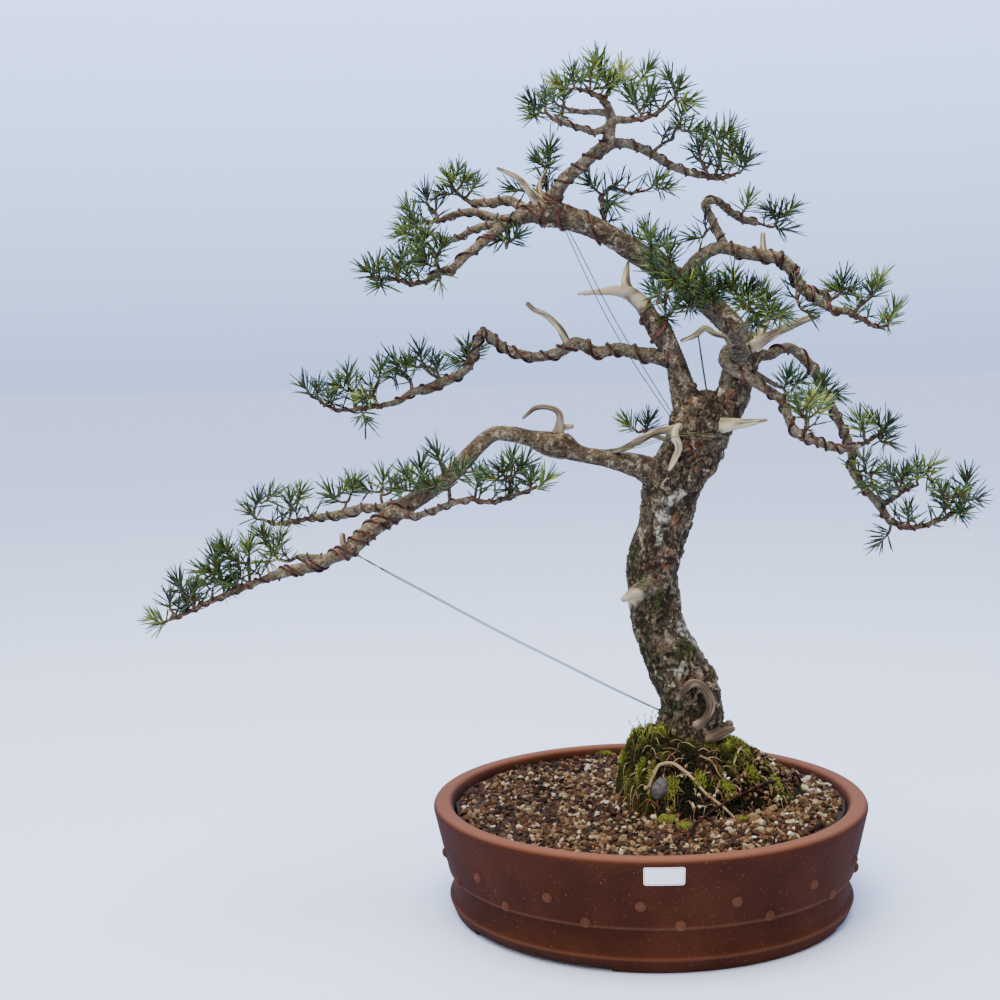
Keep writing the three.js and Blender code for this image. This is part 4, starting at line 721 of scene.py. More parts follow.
def weathered(name, sides=20):
    rows = limb(name, 1.6)
    rows[:, 3] *= SLIMNESS.get(name, 1)
    count = len(rows)
    angle = np.arange(sides) * 2 * math.pi / sides
    run = np.repeat(np.arange(count) * 1.6, sides)
    turn = np.tile(angle, count) + run * 0.012
    phase = len(name) * 3.7

    def furrows(around, along, seed):
        return cloud(np.stack([np.cos(turn) * around + phase, np.sin(turn) * around, run / along], axis=1),
                     seed) - 0.5

    radius = np.repeat(rows[:, 3], sides)
    fine = furrows(3.2, 16, 82)
    relief = radius * (0.42 * furrows(1.3, 22, 81) + 0.3 * fine + 0.14 * furrows(7.0, 7, 83))
    corners, faces = tube(rows, sides, relief.reshape(count, sides))
    # Highest deep in the fine furrows: partly dark grain, partly painted shade in the furrows.
    grain = np.concatenate([eased(-fine, -0.02, 0.26), [0.4, 0.4]]) * 0.85
    tone = PALENESS.get(name, 0.65) + 0.8 * np.concatenate([furrows(1.1, 12, 84), [0, 0]])
    return corners, faces, {"grain": grain, "tone": np.clip(tone, 0, 1)}


WOOD["strip"] = [(686, 434, -10, 5), (677, 428, -27, 4.8), (675, 436, -36, 4.8), (678, 447, -37, 4.4),
                 (675, 458, -36, 3.4), (669, 470, -35, 1.5)]
WOOD["spike"][0] = (712, 426, -10, 9)
dry = Gathered("grain", "tone")
for name in DEAD:
    corners, faces, values = weathered(name)
    dry.add(corners, faces, **values)
deadwood = settle(dry.piece("deadwood", [deadwood_material]), "pine_bark", "tree_wood")

# %% [markdown]
# ## Copper wire
#
# A bonsai's branches are set by winding annealed copper wire round them, each turn at about 45
# degrees, and left on for a season. The wire lies on the bark, so a coil follows the limb's own line
# at the limb's radius. Annealed copper weathers to a dull pinkish brown.

# %% The copper coils
def wire_finish(name, code, darker, rough):
    material, tree, shader = finish(name, Metallic=1.0, Roughness=rough)
    place = node(tree, "TexCoord").outputs["Object"]
    stains = node(tree, "TexNoise", values={"Scale": per_mm(9), "Detail": 3.0}, links={"Vector": place})
    tone = node(tree, "ValToRGB", links={"Fac": stains.outputs["Fac"]}, stops=[(0.38, darker), (0.62, code)])
    tree.links.new(tone.outputs["Color"], shader.inputs["Base Color"])
    return material


copper = wire_finish("annealed copper", "#6c473d", "#2f201b", 0.6)
steel = wire_finish("galvanised steel", "#6a6d4e", "#3c3e2c", 0.5)
rust = wire_finish("rusted iron", "#5d3833", "#2c1a17", 0.7)


def coil_rows(rows, start, end, turns, wire, first=0.0):
    """A wire wound round a limb from one share of its length to another."""
    along, side, other = carried_frames(rows[:, :3])
    run = np.concatenate([[0], np.cumsum(np.linalg.norm(np.diff(rows[:, :3], axis=0), axis=1))])
    share = np.linspace(start, end, max(12, int(abs(turns) * 14)))
    angle = first + 2 * math.pi * turns * (share - start) / (end - start)
    angle += 0.55 * np.sin(angle * 0.37 + first * 3) + 0.3 * np.sin(angle * 0.83 + turns)

    def at(table):
        return np.stack([np.interp(share * run[-1], run, column) for column in table.T], axis=1)

    centre, a, b = at(rows), at(side), at(other)
    reach = (centre[:, 3] + 0.85 * wire)[:, None]
    turned = np.cos(angle)[:, None] * a + np.sin(angle)[:, None] * b
    points = centre[:, :3] + reach * turned / np.linalg.norm(turned, axis=1, keepdims=True)
    return np.column_stack([points, np.full(len(points), wire)])


COPPER = {
    "left_leader": [("left_leader", 0.47, 0.66, 1.8, 1.8, 0.0)],
    "lower_limb": [("lower_limb", 0.66, 0.985, 6, 1.3, 0.0), ("lower_limb", 0.7, 0.985, 5, 1.2, 0.9)],
    "middle_limb": [("middle_limb", 0.02, 0.36, 4.6, 1.6, 2.0), ("middle_limb", 0.36, 0.97, 8, 1.3, 0.0),
                    ("middle_limb", 0.48, 0.72, 3, 1.2, 0.9)],
    "upper_limb": [("upper_limb", 0.5, 0.63, 1.3, 1.4, 1.0), ("upper_limb", 0.64, 0.99, 5, 1.2, 0.0),
                   ("upper_limb", 0.66, 0.82, 2.4, 1.2, 0.9)],
    "apex": [("apex_stem", 0.04, 0.72, 4.6, 1.2, 0.0), ("apex_stem", 0.03, 0.2, 2.2, 1.1, 1.2)],
    "right_branch": [("right_branch", 0.3, 0.98, 6, 1.5, 0.0), ("right_branch", 0.5, 0.98, 4, 1.1, 0.9)],
    "falling_branch": [("falling_branch", 0.22, 0.98, 6.5, 1.3, 0.0), ("falling_branch", 0.66, 0.98, 3, 1.1, 0.9)],
    "outer_branch": [("outer_branch", 0.12, 0.98, 8, 1.3, 0.0), ("outer_branch", 0.3, 0.62, 2.8, 1.1, 0.9)],
}
for name, turns_of in COPPER.items():
    wound = Gathered()
    for wood, start, end, turns, wire, first in turns_of:
        wound.add(*tube(coil_rows(limb(wood, 1.5), start, end, turns, wire, first), 7))
    settle(wound.piece("copper_" + name, [copper]), "copper_wire", "wire_" + name)

FINE_COPPER = [
    ("lower_limb_side", 0.1, 0.99, 5.5), ("lower_limb_return", 0.15, 0.98, 4), ("lower_limb_second", 0.2, 0.98, 2.5),
    ("upper_middle", 0.1, 0.98, 3.4), ("upper_low", 0.1, 0.98, 4), ("upper_top", 0.1, 0.98, 3.2),
    ("apex_left", 0.25, 0.98, 2.6), ("crown_limb", 0.02, 0.98, 5.4),
    ("right_branch_upper", 0.05, 0.98, 6.5), ("right_branch_pair", 0.2, 0.98, 2), ("front_twigs", 0.25, 0.98, 2.5),
]
wound = Gathered()
for wood, start, end, turns in FINE_COPPER:
    wound.add(*tube(coil_rows(limb(wood, 1.5), start, end, turns, 0.95, 0.4), 6))
settle(wound.piece("copper_on_side_limbs", [copper]), "copper_wire")

# %% [markdown]
# ## Guy wires
#
# Four thin steel guys pull limbs down or hold them apart. Each is one wire doubled back: it is hooked
# round the wood, its two strands run side by side and its start is twisted together.

# %% The guys
GUYS = {
    "long": [(561, 218, -4), (615, 326, -25), (682, 432, -4)],
    "lower_limb": [(350, 551, -78), (384, 570, -79), (440, 600, -69), (500, 632, -60), (560, 662, -49),
                   (610, 687, -40), (672, 716, -20)],
    "trunk": [(598, 451, -26), (640, 446, -34), (672, 436, -38.5), (702, 434, -46), (728, 437, -38)],
    "right": [(698, 334, -12), (703, 368, -9), (709, 406, -6)],
}
STRANDS = {"long": (0.5, 5.5, 0.06), "lower_limb": (0.5, 0.55, 0.1), "trunk": (0.45, 1.3, 0.1),
           "right": (0.5, 0.5, 0.0)}


def guy_rows(readings, half, apart, twisted, strand):
    """One of a guy's two strands: wound together at the start and apart further on."""
    rows = smooth_line([[*seen(*reading), half] for reading in readings], 2.5)
    along, side, other = carried_frames(rows[:, :3])
    share = np.linspace(0, 1, len(rows))
    twist = share < twisted
    angle = np.where(twist, share * len(rows) * 2.5 / 5, 0.6) + strand * math.pi
    gap = np.where(twist, half * 1.05, half * 1.05 + apart * np.sin(math.pi * share) ** 0.5)[:, None]
    rows[:, :3] += gap * (np.cos(angle)[:, None] * side + np.sin(angle)[:, None] * other)
    return rows


for name, readings in GUYS.items():
    strung = Gathered()
    for strand in (0, 1):
        strung.add(*tube(guy_rows(readings, *STRANDS[name], strand), 6))
    settle(strung.piece("guy_" + name, [steel]), "steel_wire", "guy_wire_" + name)

# %% [markdown]
# ## Needles
#
# Scots pine needles are blue-green, stiff, slightly twisted, about 20 to 25 mm long here, and grow
# in pairs round the end of each shoot, in a spiral, leaning more the further they are from the tip.
# A reading gives the middle of each tuft; its shoot starts at the nearest place on the twig. The
# needles are thin three-sided spikes, so that each costs few triangles and keeps a fine outline.

# %% Where the twigs and tufts are
SPRAYS = {
    "lower_limb_tip": ([
        [(270, 577, -90), (247, 586, -90), (226, 595, -88), (204, 604, -87), (184, 614, -84),
         (167, 621, -82)],
        [(250, 585, -90), (249, 570, -84), (249, 560, -81)],
        [(240, 589, -90), (226, 582, -75), (214, 578, -69)],
    ], [(158, 621, -81), (170, 601, -66), (180, 586, -93), (193, 594, -75), (205, 583, -63),
        (218, 571, -81), (236, 560, -69), (249, 549, -87), (215, 557, -60), (188, 606, -78),
        (222, 585, -66), (208, 572, -84), (235, 572, -75), (226, 550, -84)]),
    "lower_limb_second": ([
        [(297, 557, -51), (288, 561, -48), (280, 560, -46)],
    ], [(274, 553, -42), (264, 538, -57), (268, 562, -60), (279, 542, -36)]),
    "upper_side_tip": ([
        [(314, 518, 12), (296, 521, 20), (279, 524, 27), (264, 520, 33)],
    ], [(252, 514, 39), (257, 502, 27), (271, 496, 42), (290, 503, 33), (299, 496, 15)]),
    "upper_side_middle": ([
        [(345, 511, -4), (346, 502, 3)],
    ], [(333, 496, 9), (353, 487, -9), (345, 489, 21)]),
    "upper_side_inner": ([
        [(382, 505, -27), (381, 495, -22)],
    ], [(383, 481, -15), (368, 490, -9), (394, 488, -33)]),
    "lower_limb_middle": ([
        [(417, 495, -56), (418, 486, -62)],
    ], [(408, 477, -51), (421, 470, -69), (403, 489, -75), (424, 485, -84)]),
    "return_rise": ([
        [(450, 502, -104), (449, 488, -102), (447, 473, -99)],
    ], [(438, 457, -96), (452, 468, -84), (436, 486, -117), (461, 475, -111)]),
    "return_tip": ([
        [(470, 499, -114), (491, 502, -123), (510, 497, -130), (527, 491, -135), (536, 487, -138)],
        [(508, 498, -129), (510, 486, -129)],
    ], [(543, 483, -138), (531, 480, -123), (512, 463, -120), (503, 473, -144), (521, 468, -135),
        (478, 482, -108), (491, 477, -129)]),
    "middle_limb_tip": ([
        [(383, 405, 66), (366, 408, 66), (350, 410, 66), (334, 409, 64), (320, 402, 63)],
        [(355, 409, 66), (353, 396, 69), (350, 388, 72)],
        [(378, 406, 66), (373, 394, 60), (377, 384, 54)],
    ], [(307, 389, 60), (318, 391, 48), (331, 397, 75), (348, 378, 75), (339, 386, 60), (380, 372, 51),
        (366, 397, 48), (364, 418, 69)]),
    "middle_limb_rise": ([
        [(412, 388, 64), (409, 378, 72), (403, 373, 75)],
    ], [(396, 364, 78), (406, 366, 63), (391, 377, 87)]),
    "middle_limb_fork": ([
        [(440, 378, 63), (431, 374, 57), (424, 368, 54)],
    ], [(421, 356, 51), (413, 365, 66), (437, 367, 69)]),
    "middle_limb_elbow": ([
        [(470, 360, 66), (469, 356, 72)],
    ], [(468, 351, 75), (461, 361, 72), (476, 352, 69)]),
    "upper_left_tip": ([
        [(427, 281, -45), (413, 284, -51), (398, 280, -56), (382, 279, -60)],
        [(413, 284, -51), (408, 274, -46), (404, 268, -45)],
    ], [(371, 273, -63), (377, 267, -51), (381, 285, -69), (402, 261, -39), (396, 271, -57),
        (413, 262, -30)]),
    "upper_left_rise": ([
        [(439, 269, -39), (436, 260, -36), (432, 252, -32)],
    ], [(419, 252, -27), (427, 262, -54), (440, 248, -42), (424, 240, -21), (440, 277, -42)]),
    "upper_left_middle": ([
        [(443, 219, 44), (430, 222, 48), (420, 220, 51)],
        [(438, 220, 45), (434, 211, 50), (429, 207, 51)],
    ], [(410, 211, 54), (415, 225, 63), (406, 229, 42), (426, 198, 54)]),
    "upper_left_low": ([
        [(431, 233, 18), (422, 229, 16)],
    ], [(408, 234, 12), (418, 241, 3), (413, 222, 21)]),
    "upper_left_top": ([
        [(472, 203, 44), (463, 198, 48), (458, 194, 50)],
    ], [(450, 182, 51), (463, 182, 42), (474, 187, 57), (445, 194, 45), (456, 174, 63)]),
    "upper_left_hanging": ([
        [(506, 230, -8), (508, 240, -14), (506, 249, -16)],
    ], [(515, 238, -21), (501, 240, -6)]),
    "knot_tuft": ([
        [(549, 211, 2), (547, 190, 21), (545, 176, 27)],
    ], [(549, 152, 26), (540, 163, 18), (547, 166, 39), (517, 190, 30)]),
    "apex_left": ([
        [(552, 118, -54), (546, 112, -57)],
    ], [(534, 106, -57), (545, 101, -45), (535, 116, -69)]),
    "apex_back": ([
        [(570, 110, 4), (562, 106, 9)],
    ], [(552, 98, 12), (564, 95, -3), (562, 115, 21)]),
    "apex_top": ([
        [(606, 103, -36), (598, 96, -39), (586, 91, -40), (574, 88, -42)],
        [(604, 101, -36), (608, 92, -30), (614, 86, -21)],
    ], [(562, 86, -45), (573, 77, -36), (592, 71, -48), (604, 74, -27), (620, 74, -15), (582, 79, -18),
        (632, 84, -6), (646, 72, 0), (598, 63, -36), (611, 82, -30)]),
    "apex_right": ([
        [(632, 120, -39), (648, 117, -45), (660, 111, -50), (668, 103, -51)],
        [(643, 118, -44), (638, 109, -39)],
    ], [(678, 90, -52), (671, 81, -42), (684, 102, -57), (633, 99, -33), (648, 97, -45)]),
    "crown_rise": ([
        [(655, 150, -9), (664, 143, -6), (673, 139, -3)],
    ], [(682, 113, 0), (679, 126, 9), (691, 131, -12)]),
    "crown_tip": ([
        [(700, 175, 4), (716, 178, 8), (730, 176, 10), (737, 173, 12)],
        [(714, 177, 8), (719, 166, 12), (721, 157, 15)],
        [(710, 177, 6), (702, 163, -6), (699, 155, -9)],
    ], [(746, 164, 14), (741, 152, 6), (735, 162, 24), (716, 138, 18), (727, 133, 9), (704, 139, -12),
        (698, 150, 3), (731, 146, 24)]),
    "back_sprig": ([
        [(607, 235, 5), (603, 212, 28), (602, 196, 39), (612, 188, 45), (628, 193, 51), (643, 191, 54)],
    ], [(656, 182, 57), (612, 204, 42), (592, 184, 36), (664, 188, 48)]),
    "right_branch_tip": ([
        [(848, 312, -27), (864, 320, -32), (880, 327, -36), (887, 325, -38)],
        [(852, 314, -28), (860, 306, -22), (870, 298, -18)],
    ], [(893, 314, -39), (888, 322, -51), (878, 284, -15), (872, 291, -27)]),
    "right_branch_pair": ([
        [(832, 299, 12), (838, 296, 14)],
        [(797, 285, -21), (797, 297, -30), (799, 304, -35)],
    ], [(842, 285, 15), (848, 292, 6), (836, 290, 24), (805, 311, -38)]),
    "right_upper_tip": ([
        [(757, 223, 66), (770, 227, 70)],
        [(742, 214, 60), (743, 211, 60)],
        [(711, 227, 24), (705, 233, 18)],
    ], [(779, 217, 74), (788, 212, 66), (772, 212, 81), (782, 229, 72), (747, 204, 63), (697, 238, 15)]),
    "front_left": ([
        [(711, 311, -69), (704, 305, -74)],
    ], [(688, 287, -78), (701, 291, -66), (688, 306, -84), (715, 292, -81)]),
    "front_right": ([
        [(750, 320, -72), (755, 314, -76)],
    ], [(735, 290, -78), (748, 303, -90), (764, 304, -75), (776, 313, -81), (757, 325, -90),
        (741, 304, -63)]),
    "behind_leader": ([
        [(672, 276, 26), (667, 293, 22), (665, 307, 18)],
    ], [(655, 293, 3), (666, 318, 0), (676, 306, 0)]),
    "limb_top": ([
        [(657, 266, 20), (652, 246, 24)],
    ], [(648, 233, 27), (632, 238, 21), (664, 243, 30)]),
    "third_twig": ([
        [(777, 386, 42), (784, 389, 45)],
    ], [(787, 380, 48), (797, 382, 39), (792, 397, 51)]),
    "falling_middle": ([
        [(804, 438, -72), (806, 426, -70), (806, 417, -66)],
    ], [(799, 409, -63), (809, 403, -75), (819, 409, -57)]),
    "falling_tip": ([
        [(860, 445, -75), (872, 439, -75), (880, 434, -75)],
    ], [(886, 428, -75), (875, 422, -66), (861, 425, -81), (884, 442, -84)]),
    "outer_rise": ([
        [(824, 391, 20), (820, 392, 6)],
    ], [(822, 386, 0), (832, 393, -6), (819, 398, -12)]),
    "outer_middle": ([
        [(853, 474, 2), (865, 470, -14)],
    ], [(864, 464, -18), (873, 473, -21), (869, 485, -24), (878, 491, -15)]),
    "outer_inner": ([
        [(887, 503, 3), (896, 497, 18), (906, 490, 24), (918, 485, 27)],
    ], [(891, 474, 30), (904, 476, 15), (917, 472, 36), (929, 468, 30), (931, 480, 21), (899, 488, 39)]),
    "outer_tip": ([
        [(890, 521, -6), (905, 527, -8), (922, 526, -9), (937, 521, -10), (952, 514, -12), (962, 504, -14),
         (966, 491, -15)],
    ], [(967, 481, -15), (972, 499, -21), (960, 513, -24), (947, 503, 0), (942, 494, -18), (957, 496, -30),
        (884, 538, -6), (908, 515, 3)]),
    "small_back_tuft": ([
        [(652, 435, 81), (642, 431, 87)],
    ], [(630, 425, 90), (648, 424, 81)]),
}
LIMB_ENDS = np.array([[*seen(*rows[-1][:3]), rows[-1][3]] for rows in WOOD.values()])
FRESH = {"apex_top": 0.26, "front_left": 0.0, "front_right": 0.04, "falling_middle": 0.12, "crown_tip": 0.06,
         "upper_side_inner": 0.12, "lower_limb_second": 0.12, "outer_inner": 0.08, "right_branch_tip": 0.12}
SPRAYS["front_left"][0].append([(711, 311, -69), (697, 296, -72), (682, 281, -75), (668, 270, -72)])
SPRAYS["front_left"][1].extend([
    (654, 260, -66), (661, 273, -78), (651, 241, -60), (659, 296, -69), (670, 256, -72), (674, 280, -84),
    (703, 279, -75), (697, 303, -90), (712, 299, -93)])
SPRAYS["front_right"][1].extend([
    (726, 288, -87), (733, 279, -72), (747, 291, -84), (762, 293, -66), (754, 312, -96), (770, 314, -93),
    (781, 318, -72)])
print(sum(len(tufts) for stems, tufts in SPRAYS.values()), "tufts of needles")

# %% The needle shapes
GOLDEN = math.pi * (3 - math.sqrt(5))
RINGS = np.array([0.0, 0.45, 0.82])
NEEDLE_FACES = np.array(
    [[ring + k, ring + (k + 1) % 3, ring + 3 + (k + 1) % 3] for ring in (0, 3) for k in range(3)]
    + [[ring + k, ring + 3 + (k + 1) % 3, ring + 3 + k] for ring in (0, 3) for k in range(3)]
    + [[6 + k, 6 + (k + 1) % 3, 9] for k in range(3)] + [[0, 2, 1]])


def unit(vectors):
    return vectors / np.linalg.norm(vectors, axis=-1, keepdims=True)


def needle_shapes(base, way, length, radius, sag):
    """Thin three-sided needles, one for each row: where it starts, its way, mm long, mm thick, its bend."""
    side = unit(np.cross(way, [0.03, 0.05, 1.0]))
    other = np.cross(way, side)
    spine = (base[:, None] + way[:, None] * (length[:, None] * RINGS)[..., None]
             + sag[:, None] * (RINGS**2)[None, :, None])
    angle = np.arange(3) * 2 * math.pi / 3
    ring = np.cos(angle)[:, None] * side[:, None] + np.sin(angle)[:, None] * other[:, None]
    thick = radius[:, None] * np.array([0.75, 1.0, 0.7])
    corners = spine[:, :, None] + thick[:, :, None, None] * ring[:, None]
    tip = base + way * length[:, None] + sag
    corners = np.concatenate([corners.reshape(len(base), 9, 3), tip[:, None]], axis=1)
    faces = NEEDLE_FACES + np.arange(len(base))[:, None, None] * 10
    return corners.reshape(-1, 3), faces.reshape(-1, 3)


def tuft_needles(place, grow, draw, pairs):
    """Pairs of needles round the end of a shoot."""
    share = (np.arange(pairs) + 0.5) / pairs
    helper = np.array([1.0, 0, 0]) if abs(grow[2]) > 0.8 else np.array([0, 0, 1.0])
    side = unit(np.cross(helper, grow))
    other = np.cross(grow, side)
    turn = draw.random() * 6.28 + np.arange(pairs) * GOLDEN
    lean = np.radians(74 - 52 * share + draw.uniform(-10, 10, pairs))
    outward = np.cos(turn)[:, None] * side + np.sin(turn)[:, None] * other
    way = np.cos(lean)[:, None] * grow + np.sin(lean)[:, None] * outward + [0, 0, 0.16]
    base = place + grow * (share * 15 - 9)[:, None] + outward * 0.7
    keep = (unit(way)[:, 2] > -0.55) | (draw.random(pairs) < 0.4)
    base, way, outward = base[keep], unit(way[keep]), outward[keep]
    apart = unit(np.cross(way, outward) + draw.normal(0, 0.3, way.shape)) * 0.11
    way = unit(np.concatenate([way + apart, way - apart]) + draw.normal(0, 0.03, (2 * len(way), 3)))
    base = np.concatenate([base, base])
    length = draw.uniform(14.5, 22.5, len(way)) + 3.5 * (draw.random(len(way)) < 0.12)
    radius = draw.uniform(0.66, 0.94, len(way))
    sag = draw.normal(0, 0.9, way.shape) + np.array([0, 0, -0.5])
    return (*needle_shapes(base, way, length, radius, sag), len(way))


trial = tuft_needles(np.zeros(3), np.array([0, 0, 1.0]), draw_of(4), 16)
print("a tuft has", trial[2], "needles and", len(trial[1]), "triangles")

# %% Needle and twig finishes
def needle_finish():
    material, tree, shader = finish("scots pine needles", Roughness=0.45, Specular_IOR_Level=0.38)
    tone = node(tree, "ValToRGB", stops=[
        (0.0, "#101a05"), (0.3, "#22350f"), (0.6, "#40581a"), (0.84, "#6c7d30"), (1.0, "#a0a850")],
        links={"Fac": node(tree, "Attribute", {"attribute_name": "tone"}).outputs["Fac"]})
    tree.links.new(tone.outputs["Color"], shader.inputs["Base Color"])
    return material


def twig_finish():
    material, tree, shader = finish("young pine bark", Roughness=0.9, Specular_IOR_Level=0.25)
    place = node(tree, "TexCoord").outputs["Object"]
    scales = node(tree, "TexNoise", values={"Scale": per_mm(2.6), "Detail": 4.0, "Roughness": 0.65},
                  links={"Vector": place})
    tone = node(tree, "ValToRGB", links={"Fac": scales.outputs["Fac"]}, stops=[
        (0.3, "#1a120d"), (0.47, "#3f2e20"), (0.6, "#5d4f3d"), (0.74, "#867b68")])
    tree.links.new(tone.outputs["Color"], shader.inputs["Base Color"])
    rough = node(tree, "Bump", values={"Strength": 0.6, "Distance": 0.0005},
                 links={"Height": scales.outputs["Fac"]})
    tree.links.new(rough.outputs[0], shader.inputs["Normal"])
    return material


needle_material = needle_finish()
twig_material = twig_finish()
bud_material, _, bud_shader = finish("resinous pine buds", Roughness=0.5)
bud_shader.inputs["Base Color"].default_value = linear("#6a3f22")

# %% The sprays
TWIG, NEEDLE, BUD = 0, 1, 2
twig_lines = {}


def knobbly(rows, sides, share, seed):
    """A tube with the scars and scales of a young twig."""
    angle = np.tile(np.arange(sides) * 2 * math.pi / sides, len(rows))
    around = np.stack([np.cos(angle) * 1.3, np.sin(angle) * 1.3,
                       np.repeat(np.arange(len(rows)), sides) * 0.55], axis=1)
    relief = (cloud(around + seed * 5.3, seed) - 0.5) * 2 * share * np.repeat(rows[:, 3], sides)
    return tube(rows, sides, relief.reshape(len(rows), sides))


def spray_piece(name, stems, tufts, seed):
    draw = draw_of(seed)
    grown = Gathered("tone")
    lines = []
    for order, stem in enumerate(stems):
        points = np.array([seen(*reading) for reading in stem])
        apart = np.linalg.norm(LIMB_ENDS[:, :3] - points[0], axis=1)
        at_end = apart.min() < 7
        thick = max(2.2, 0.92 * LIMB_ENDS[apart.argmin(), 3]) if at_end else (2.4, 1.9)[order > 0]
        inward = unit(points[0] - points[1])
        points = np.concatenate([[points[0] + inward * 2.5], points])
        radii = np.linspace(thick, 1.5, len(points))
        rows = smooth_line(np.column_stack([points, radii]), 2.2)
        grown.add(*knobbly(rows, 9, 0.26, seed + order), TWIG)
        lines.append(rows)
    twig_lines[name] = lines[0]
    along = np.concatenate(lines)
    for reading in tufts:
        place = seen(*reading)
        foot = along[np.linalg.norm(along[:, :3] - place, axis=1).argmin(), :3]
        reach = np.linalg.norm(place - foot)
        grow = unit(unit(place - foot + [0, 0, 0.01]) + [0, 0, 0.35])
        start = place - grow * min(9.0, 0.6 * reach)
        bend = (foot + start) / 2 + draw.normal(0, 0.06 * reach, 3) - [0, 0, 0.06 * reach]
        rows = smooth_line([[*foot, 1.7], [*bend, 1.45], [*start, 1.3], [*(place + grow * 5), 1.05]], 2.2)
        grown.add(*knobbly(rows, 7, 0.24, seed + 9), TWIG)
        along = np.concatenate([along, rows[len(rows) // 3:-2]])
        corners, faces, count = tuft_needles(place, grow, draw, int(draw.integers(14, 20)))
        tone = np.clip(draw.normal(0.45 + FRESH.get(name, 0) + 0.13 * draw.normal(), 0.17, count), 0, 1)
        fresh = np.tile(np.array([0.3] * 3 + [0.0] * 7), count)
        grown.add(corners, faces, NEEDLE, tone=np.clip(np.repeat(tone, 10) + fresh, 0, 1))
        top = place + grow * 5
        grown.add(*tube(np.array([[*top, 1.0], [*(top + grow * 1.6), 1.35], [*(top + grow * 3.6), 0.9],
                                  [*(top + grow * 5), 0.3]]), 6), BUD)
    for rows in lines:
        for row in rows[6:-2:5]:
            way = unit(np.array([draw.normal(0, 0.7), draw.normal(0, 0.7), 0.9]))
            corners, faces, count = tuft_needles(row[:3] + way * (row[3] + 6), way, draw, 4)
            tone = np.clip(draw.normal(0.36 + FRESH.get(name, 0), 0.15, count), 0, 1)
            grown.add(*knobbly(np.array([[*row[:3], 1.2], [*(row[:3] + way * (row[3] + 4)), 1.1],
                                         [*(row[:3] + way * (row[3] + 11)), 0.9]]), 6, 0.2, seed), TWIG)
            grown.add(corners, faces, NEEDLE, tone=np.repeat(tone, 10))
    made = grown.piece("pine_" + name, [twig_material, needle_material, bud_material])
    return settle(made, "pine_needles", "spray_" + name)


for seed, (name, (stems, tufts)) in enumerate(SPRAYS.items()):
    spray_piece(name, stems, tufts, 100 + seed)

# %% Thin copper on the twigs
wound = Gathered()
for name in ("lower_limb_tip", "upper_side_tip", "return_tip", "middle_limb_tip", "upper_left_tip",
             "upper_left_middle", "apex_top", "apex_right", "crown_tip", "back_sprig", "right_branch_tip",
             "outer_tip", "outer_inner", "falling_tip"):
    rows = twig_lines[name]
    length = len(rows) * 2.2
    wound.add(*tube(coil_rows(rows, 0.04, 0.93, length / 19, 0.85, 0.7), 6))
settle(wound.piece("copper_on_twigs", [copper]), "copper_wire")

# %% [markdown]
# ## The pot
#
# The pot is a wheel-thrown drum of unglazed chocolate stoneware with a rolled rim, a belt above its
# foot and two rows of clay studs. A drum is one outline turned round an axis. The foot ring is cut by
# three channels, so that water runs away from the three drain holes.

# %% The stoneware finish
def stoneware_finish(name, stops):
    material, tree, shader = finish(name, Roughness=0.9, Specular_IOR_Level=0.12)
    place = node(tree, "TexCoord").outputs["Object"]
    drift = node(tree, "TexNoise", values={"Scale": per_mm(60), "Detail": 4.0, "Roughness": 0.55},
                 links={"Vector": place}).outputs["Fac"]
    specks = node(tree, "TexNoise", values={"Scale": per_mm(1.8), "Detail": 2.0}, links={"Vector": place}).outputs["Fac"]
    height = node(tree, "SeparateXYZ", links={0: place}).outputs["Z"]
    share = node(tree, "Math", {"operation": "MULTIPLY"}, {1: per_mm(111)}, {0: height})
    # Bands by height on the foot ridge, the belt and the rim top are mixed lighter: painted highlight.
    highlit_bands = node(tree, "ValToRGB", links={"Fac": share.outputs[0]}, stops=[
        (0.105, "#000000"), (0.128, "#858585"), (0.15, "#000000"), (0.366, "#000000"), (0.386, "#858585"),
        (0.41, "#000000"), (0.968, "#000000"), (0.995, "#c3c3c3")])
    body = node(tree, "ValToRGB", links={"Fac": drift}, stops=stops)
    lit = node(tree, "Mix", {"data_type": "RGBA"}, {7: linear("#85563f")},
               {0: highlit_bands.outputs["Color"], 6: body.outputs["Color"]}).outputs[2]
    fleck = node(tree, "MapRange", values={"From Min": 0.66, "From Max": 0.74, "To Max": 0.35},
                 links={"Value": specks}).outputs[0]
    flecked = node(tree, "Mix", {"data_type": "RGBA"}, {7: linear("#80685a")}, {0: fleck, 6: lit}).outputs[2]
    tree.links.new(flecked, shader.inputs["Base Color"])
    grain = node(tree, "TexNoise", values={"Scale": per_mm(0.9), "Detail": 3.0}, links={"Vector": place})
    rough = node(tree, "Bump", values={"Strength": 0.25, "Distance": 0.0003}, links={"Height": grain.outputs["Fac"]})
    tree.links.new(rough.outputs[0], shader.inputs["Normal"])
    return material


stoneware = stoneware_finish("unglazed stoneware", [(0.36, "#34170c"), (0.5, "#3a1b0f"), (0.66, "#412013")])

# %% Turning the drum
TURN = 240
OUTLINE = [  # mm from the axis, mm up, and the radius its corner is softened by
    (0, 0, 0), (199, 0, 2), (205, 14.2, 1.2), (200.5, 20.2, 1), (200.5, 38.6, 1.2), (205.2, 42.6, 1.6),
    (219.4, 106, 3.5), (216.4, 110.5, 2.5), (203.4, 111, 3), (198.95, 106, 3), (188.35, 20, 8), (0, 20, 0),
]


